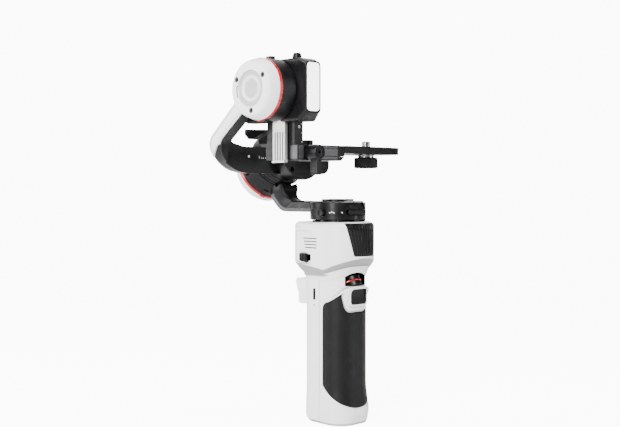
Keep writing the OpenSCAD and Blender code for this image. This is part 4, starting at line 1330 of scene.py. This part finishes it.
def camera_screw():
    """Camera screw: knurled head below the plate, threaded stud above it."""
    recess = moved(turned([(0, 180), (4.6, 180), (4.4, 182), (0, 182)], None, 48), *SCREW)
    piece("camera_screw", screw_head(180.8, 188.6), BLACK, "screw", "camera_screw", edge=0,
          cuts_with_painted_shade=(recess,))
    stem = [(0, 188.5), (5.8, 188.5), (5.8, 190.4), (3.1, 190.4), (3.1, 196)]
    for z in (196, 197, 198, 199):
        stem += [(3.175, z + 0.3), (2.75, z + 0.65), (3.175, z + 1.0)]
    stem += [(2.6, 200.4), (0, 200.4)]
    piece("camera_stud", moved(turned(stem, None, 64), *SCREW), STEEL, "screw", edge=0)


# ---------- finish of the CAD pieces still shown, stage, view ----------

CAD_FINISH = {
    "tripod_insert": BRASS, "usb_socket": SATIN, "dial_axle": STEEL, "joystick_rocker": STEEL,
    "battery_cells": WRAP, "main_board": BOARD, "pan_bearing": STEEL, "roll_bearing": STEEL,
    "tilt_bearing": STEEL, "pan_magnets": NICKEL, "roll_stator": COPPER, "tilt_stator": COPPER,
    "tilt_shaft": ANODISED,
}


def finish_cad_nodes():
    for node, material in CAD_FINISH.items():
        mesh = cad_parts[node].data
        mesh.materials.clear()
        mesh.materials.append(material)


def paper():
    """White paper, lifted to plain white where the camera looks at it."""
    material = surface("backdrop", (0.9, 0.9, 0.9), 0.8, tone=0.005, grain=(3, 0.02, 0.01), shine=0.1)
    nodes = material.node_tree
    seen = nodes.nodes.new("ShaderNodeLightPath").outputs["Is Camera Ray"]
    lift = nodes.nodes.new("ShaderNodeMath")
    lift.operation = "MULTIPLY"
    lift.inputs[1].default_value = PAPER_LIFT
    nodes.links.new(seen, lift.inputs[0])
    shader = nodes.nodes["Principled BSDF"]
    nodes.links.new(lift.outputs[0], shader.inputs["Emission Strength"])
    shader.inputs["Emission Color"].default_value = rgb(1, 1, 1)
    return material


DIFFUSE_SKY, MIRRORED_SKY = 0.22, 0.05    # strength of the surround for matt and glossy light
PAPER_LIFT = 9.0              # strength of the paper's own light, seen only by the camera
VIEW_TURN = math.radians(46.5)    # the camera's place, from straight ahead towards the tilt motor
VIEW_DISTANCE, VIEW_HEIGHT = 0.805, 0.165    # metres from the pan axis, and above the foot


def surround():
    """Even white surround for diffuse light; reflections see a darker one."""
    world = bpy.data.worlds.new("studio")
    world.use_nodes = True
    tree = world.node_tree
    back = tree.nodes["Background"]
    back.inputs["Color"].default_value = rgb(1, 1, 1)
    glossy = tree.nodes.new("ShaderNodeLightPath").outputs["Is Glossy Ray"]
    level = tree.nodes.new("ShaderNodeMapRange")
    level.inputs["To Min"].default_value = DIFFUSE_SKY
    level.inputs["To Max"].default_value = MIRRORED_SKY
    tree.links.new(glossy, level.inputs["Value"])
    tree.links.new(level.outputs["Result"], back.inputs["Strength"])
    bpy.context.scene.world = world


def light(name, place, target, size, power):
    """Soft box aimed at a point; sizes and places in metres."""
    data = bpy.data.lights.new(name, "AREA")
    data.shape = "RECTANGLE"
    data.size, data.size_y = size
    data.energy = power
    obj = bpy.data.objects.new(name, data)
    bpy.context.scene.collection.objects.link(obj)
    obj.location = place
    obj.rotation_euler = (Vector(target) - Vector(place)).to_track_quat("-Z", "Y").to_euler()


def sweep():
    """Pale seamless sweep behind and under the gimbal, in metres, square to the camera."""
    bend_part = [(0.9 + 0.5 * math.sin(turn), 0.5 - 0.5 * math.cos(turn))
                 for turn in spread(math.radians(6), math.pi / 2, 14)]
    outline = [(-2.2, 0), (0.9, 0)] + bend_part + [(1.4, 2.6)]
    bm = loft([[(x, y, z) for y, z in outline] for x in (-2.5, 2.5)], closed=False, caps=False)
    mesh = bpy.data.meshes.new("sweep")
    bm.to_mesh(mesh)
    bm.free()
    backdrop = bpy.data.objects.new("sweep", mesh)
    backdrop.rotation_euler[2] = -VIEW_TURN
    mesh.materials.append(paper())
    mesh.polygons.foreach_set("use_smooth", [True] * len(mesh.polygons))
    bpy.context.scene.collection.objects.link(backdrop)


def studio():
    """Paper sweep, soft boxes left and right and above, and a white surround."""
    sweep()
    surround()
    light("key", (-1.25, -0.45, 0.8), (0, 0, 0.16), (0.45, 1.3), 58)
    light("left", (-0.9, 0.95, 0.45), (0, 0, 0.16), (0.3, 1.2), 14)
    light("right", (0.7, -1.1, 0.4), (0, 0, 0.16), (0.16, 1.2), 9)
    light("top", (0, -0.1, 1.5), (0, 0, 0.15), (1.0, 1.0), 26)


def view():
    """Level camera on the gimbal's front left, as if through a long lens."""
    data = bpy.data.cameras.new("view")
    data.sensor_width = 36
    data.lens = 65.3
    data.shift_x, data.shift_y = -0.045, -0.038
    camera = bpy.data.objects.new("view", data)
    camera.location = (-math.sin(VIEW_TURN) * VIEW_DISTANCE, -math.cos(VIEW_TURN) * VIEW_DISTANCE,
                       VIEW_HEIGHT)
    camera.rotation_euler = (math.pi / 2, 0, -VIEW_TURN)
    bpy.context.scene.collection.objects.link(camera)
    bpy.context.scene.camera = camera


for build in (handle_shell, rubber_grip, trigger_bezel, trigger_button, front_dial, side_wheel,
              control_block, chin, head_shell, vent_grille, power_switch, display, pan_feet, pan_rotor,
              pan_lock, pan_lever, pan_cover, pan_arm, roll_motor, roll_lock, roll_rotor, roll_clamp,
              roll_clamp_lever, roll_arm, arm_trim, tilt_motor, tilt_cap, tilt_lock, light_box, rail,
              rail_lever, rail_knob, latch_lever, camera_base, base_lever, camera_plate, camera_screw,
              finish_cad_nodes, studio, view):
    build()
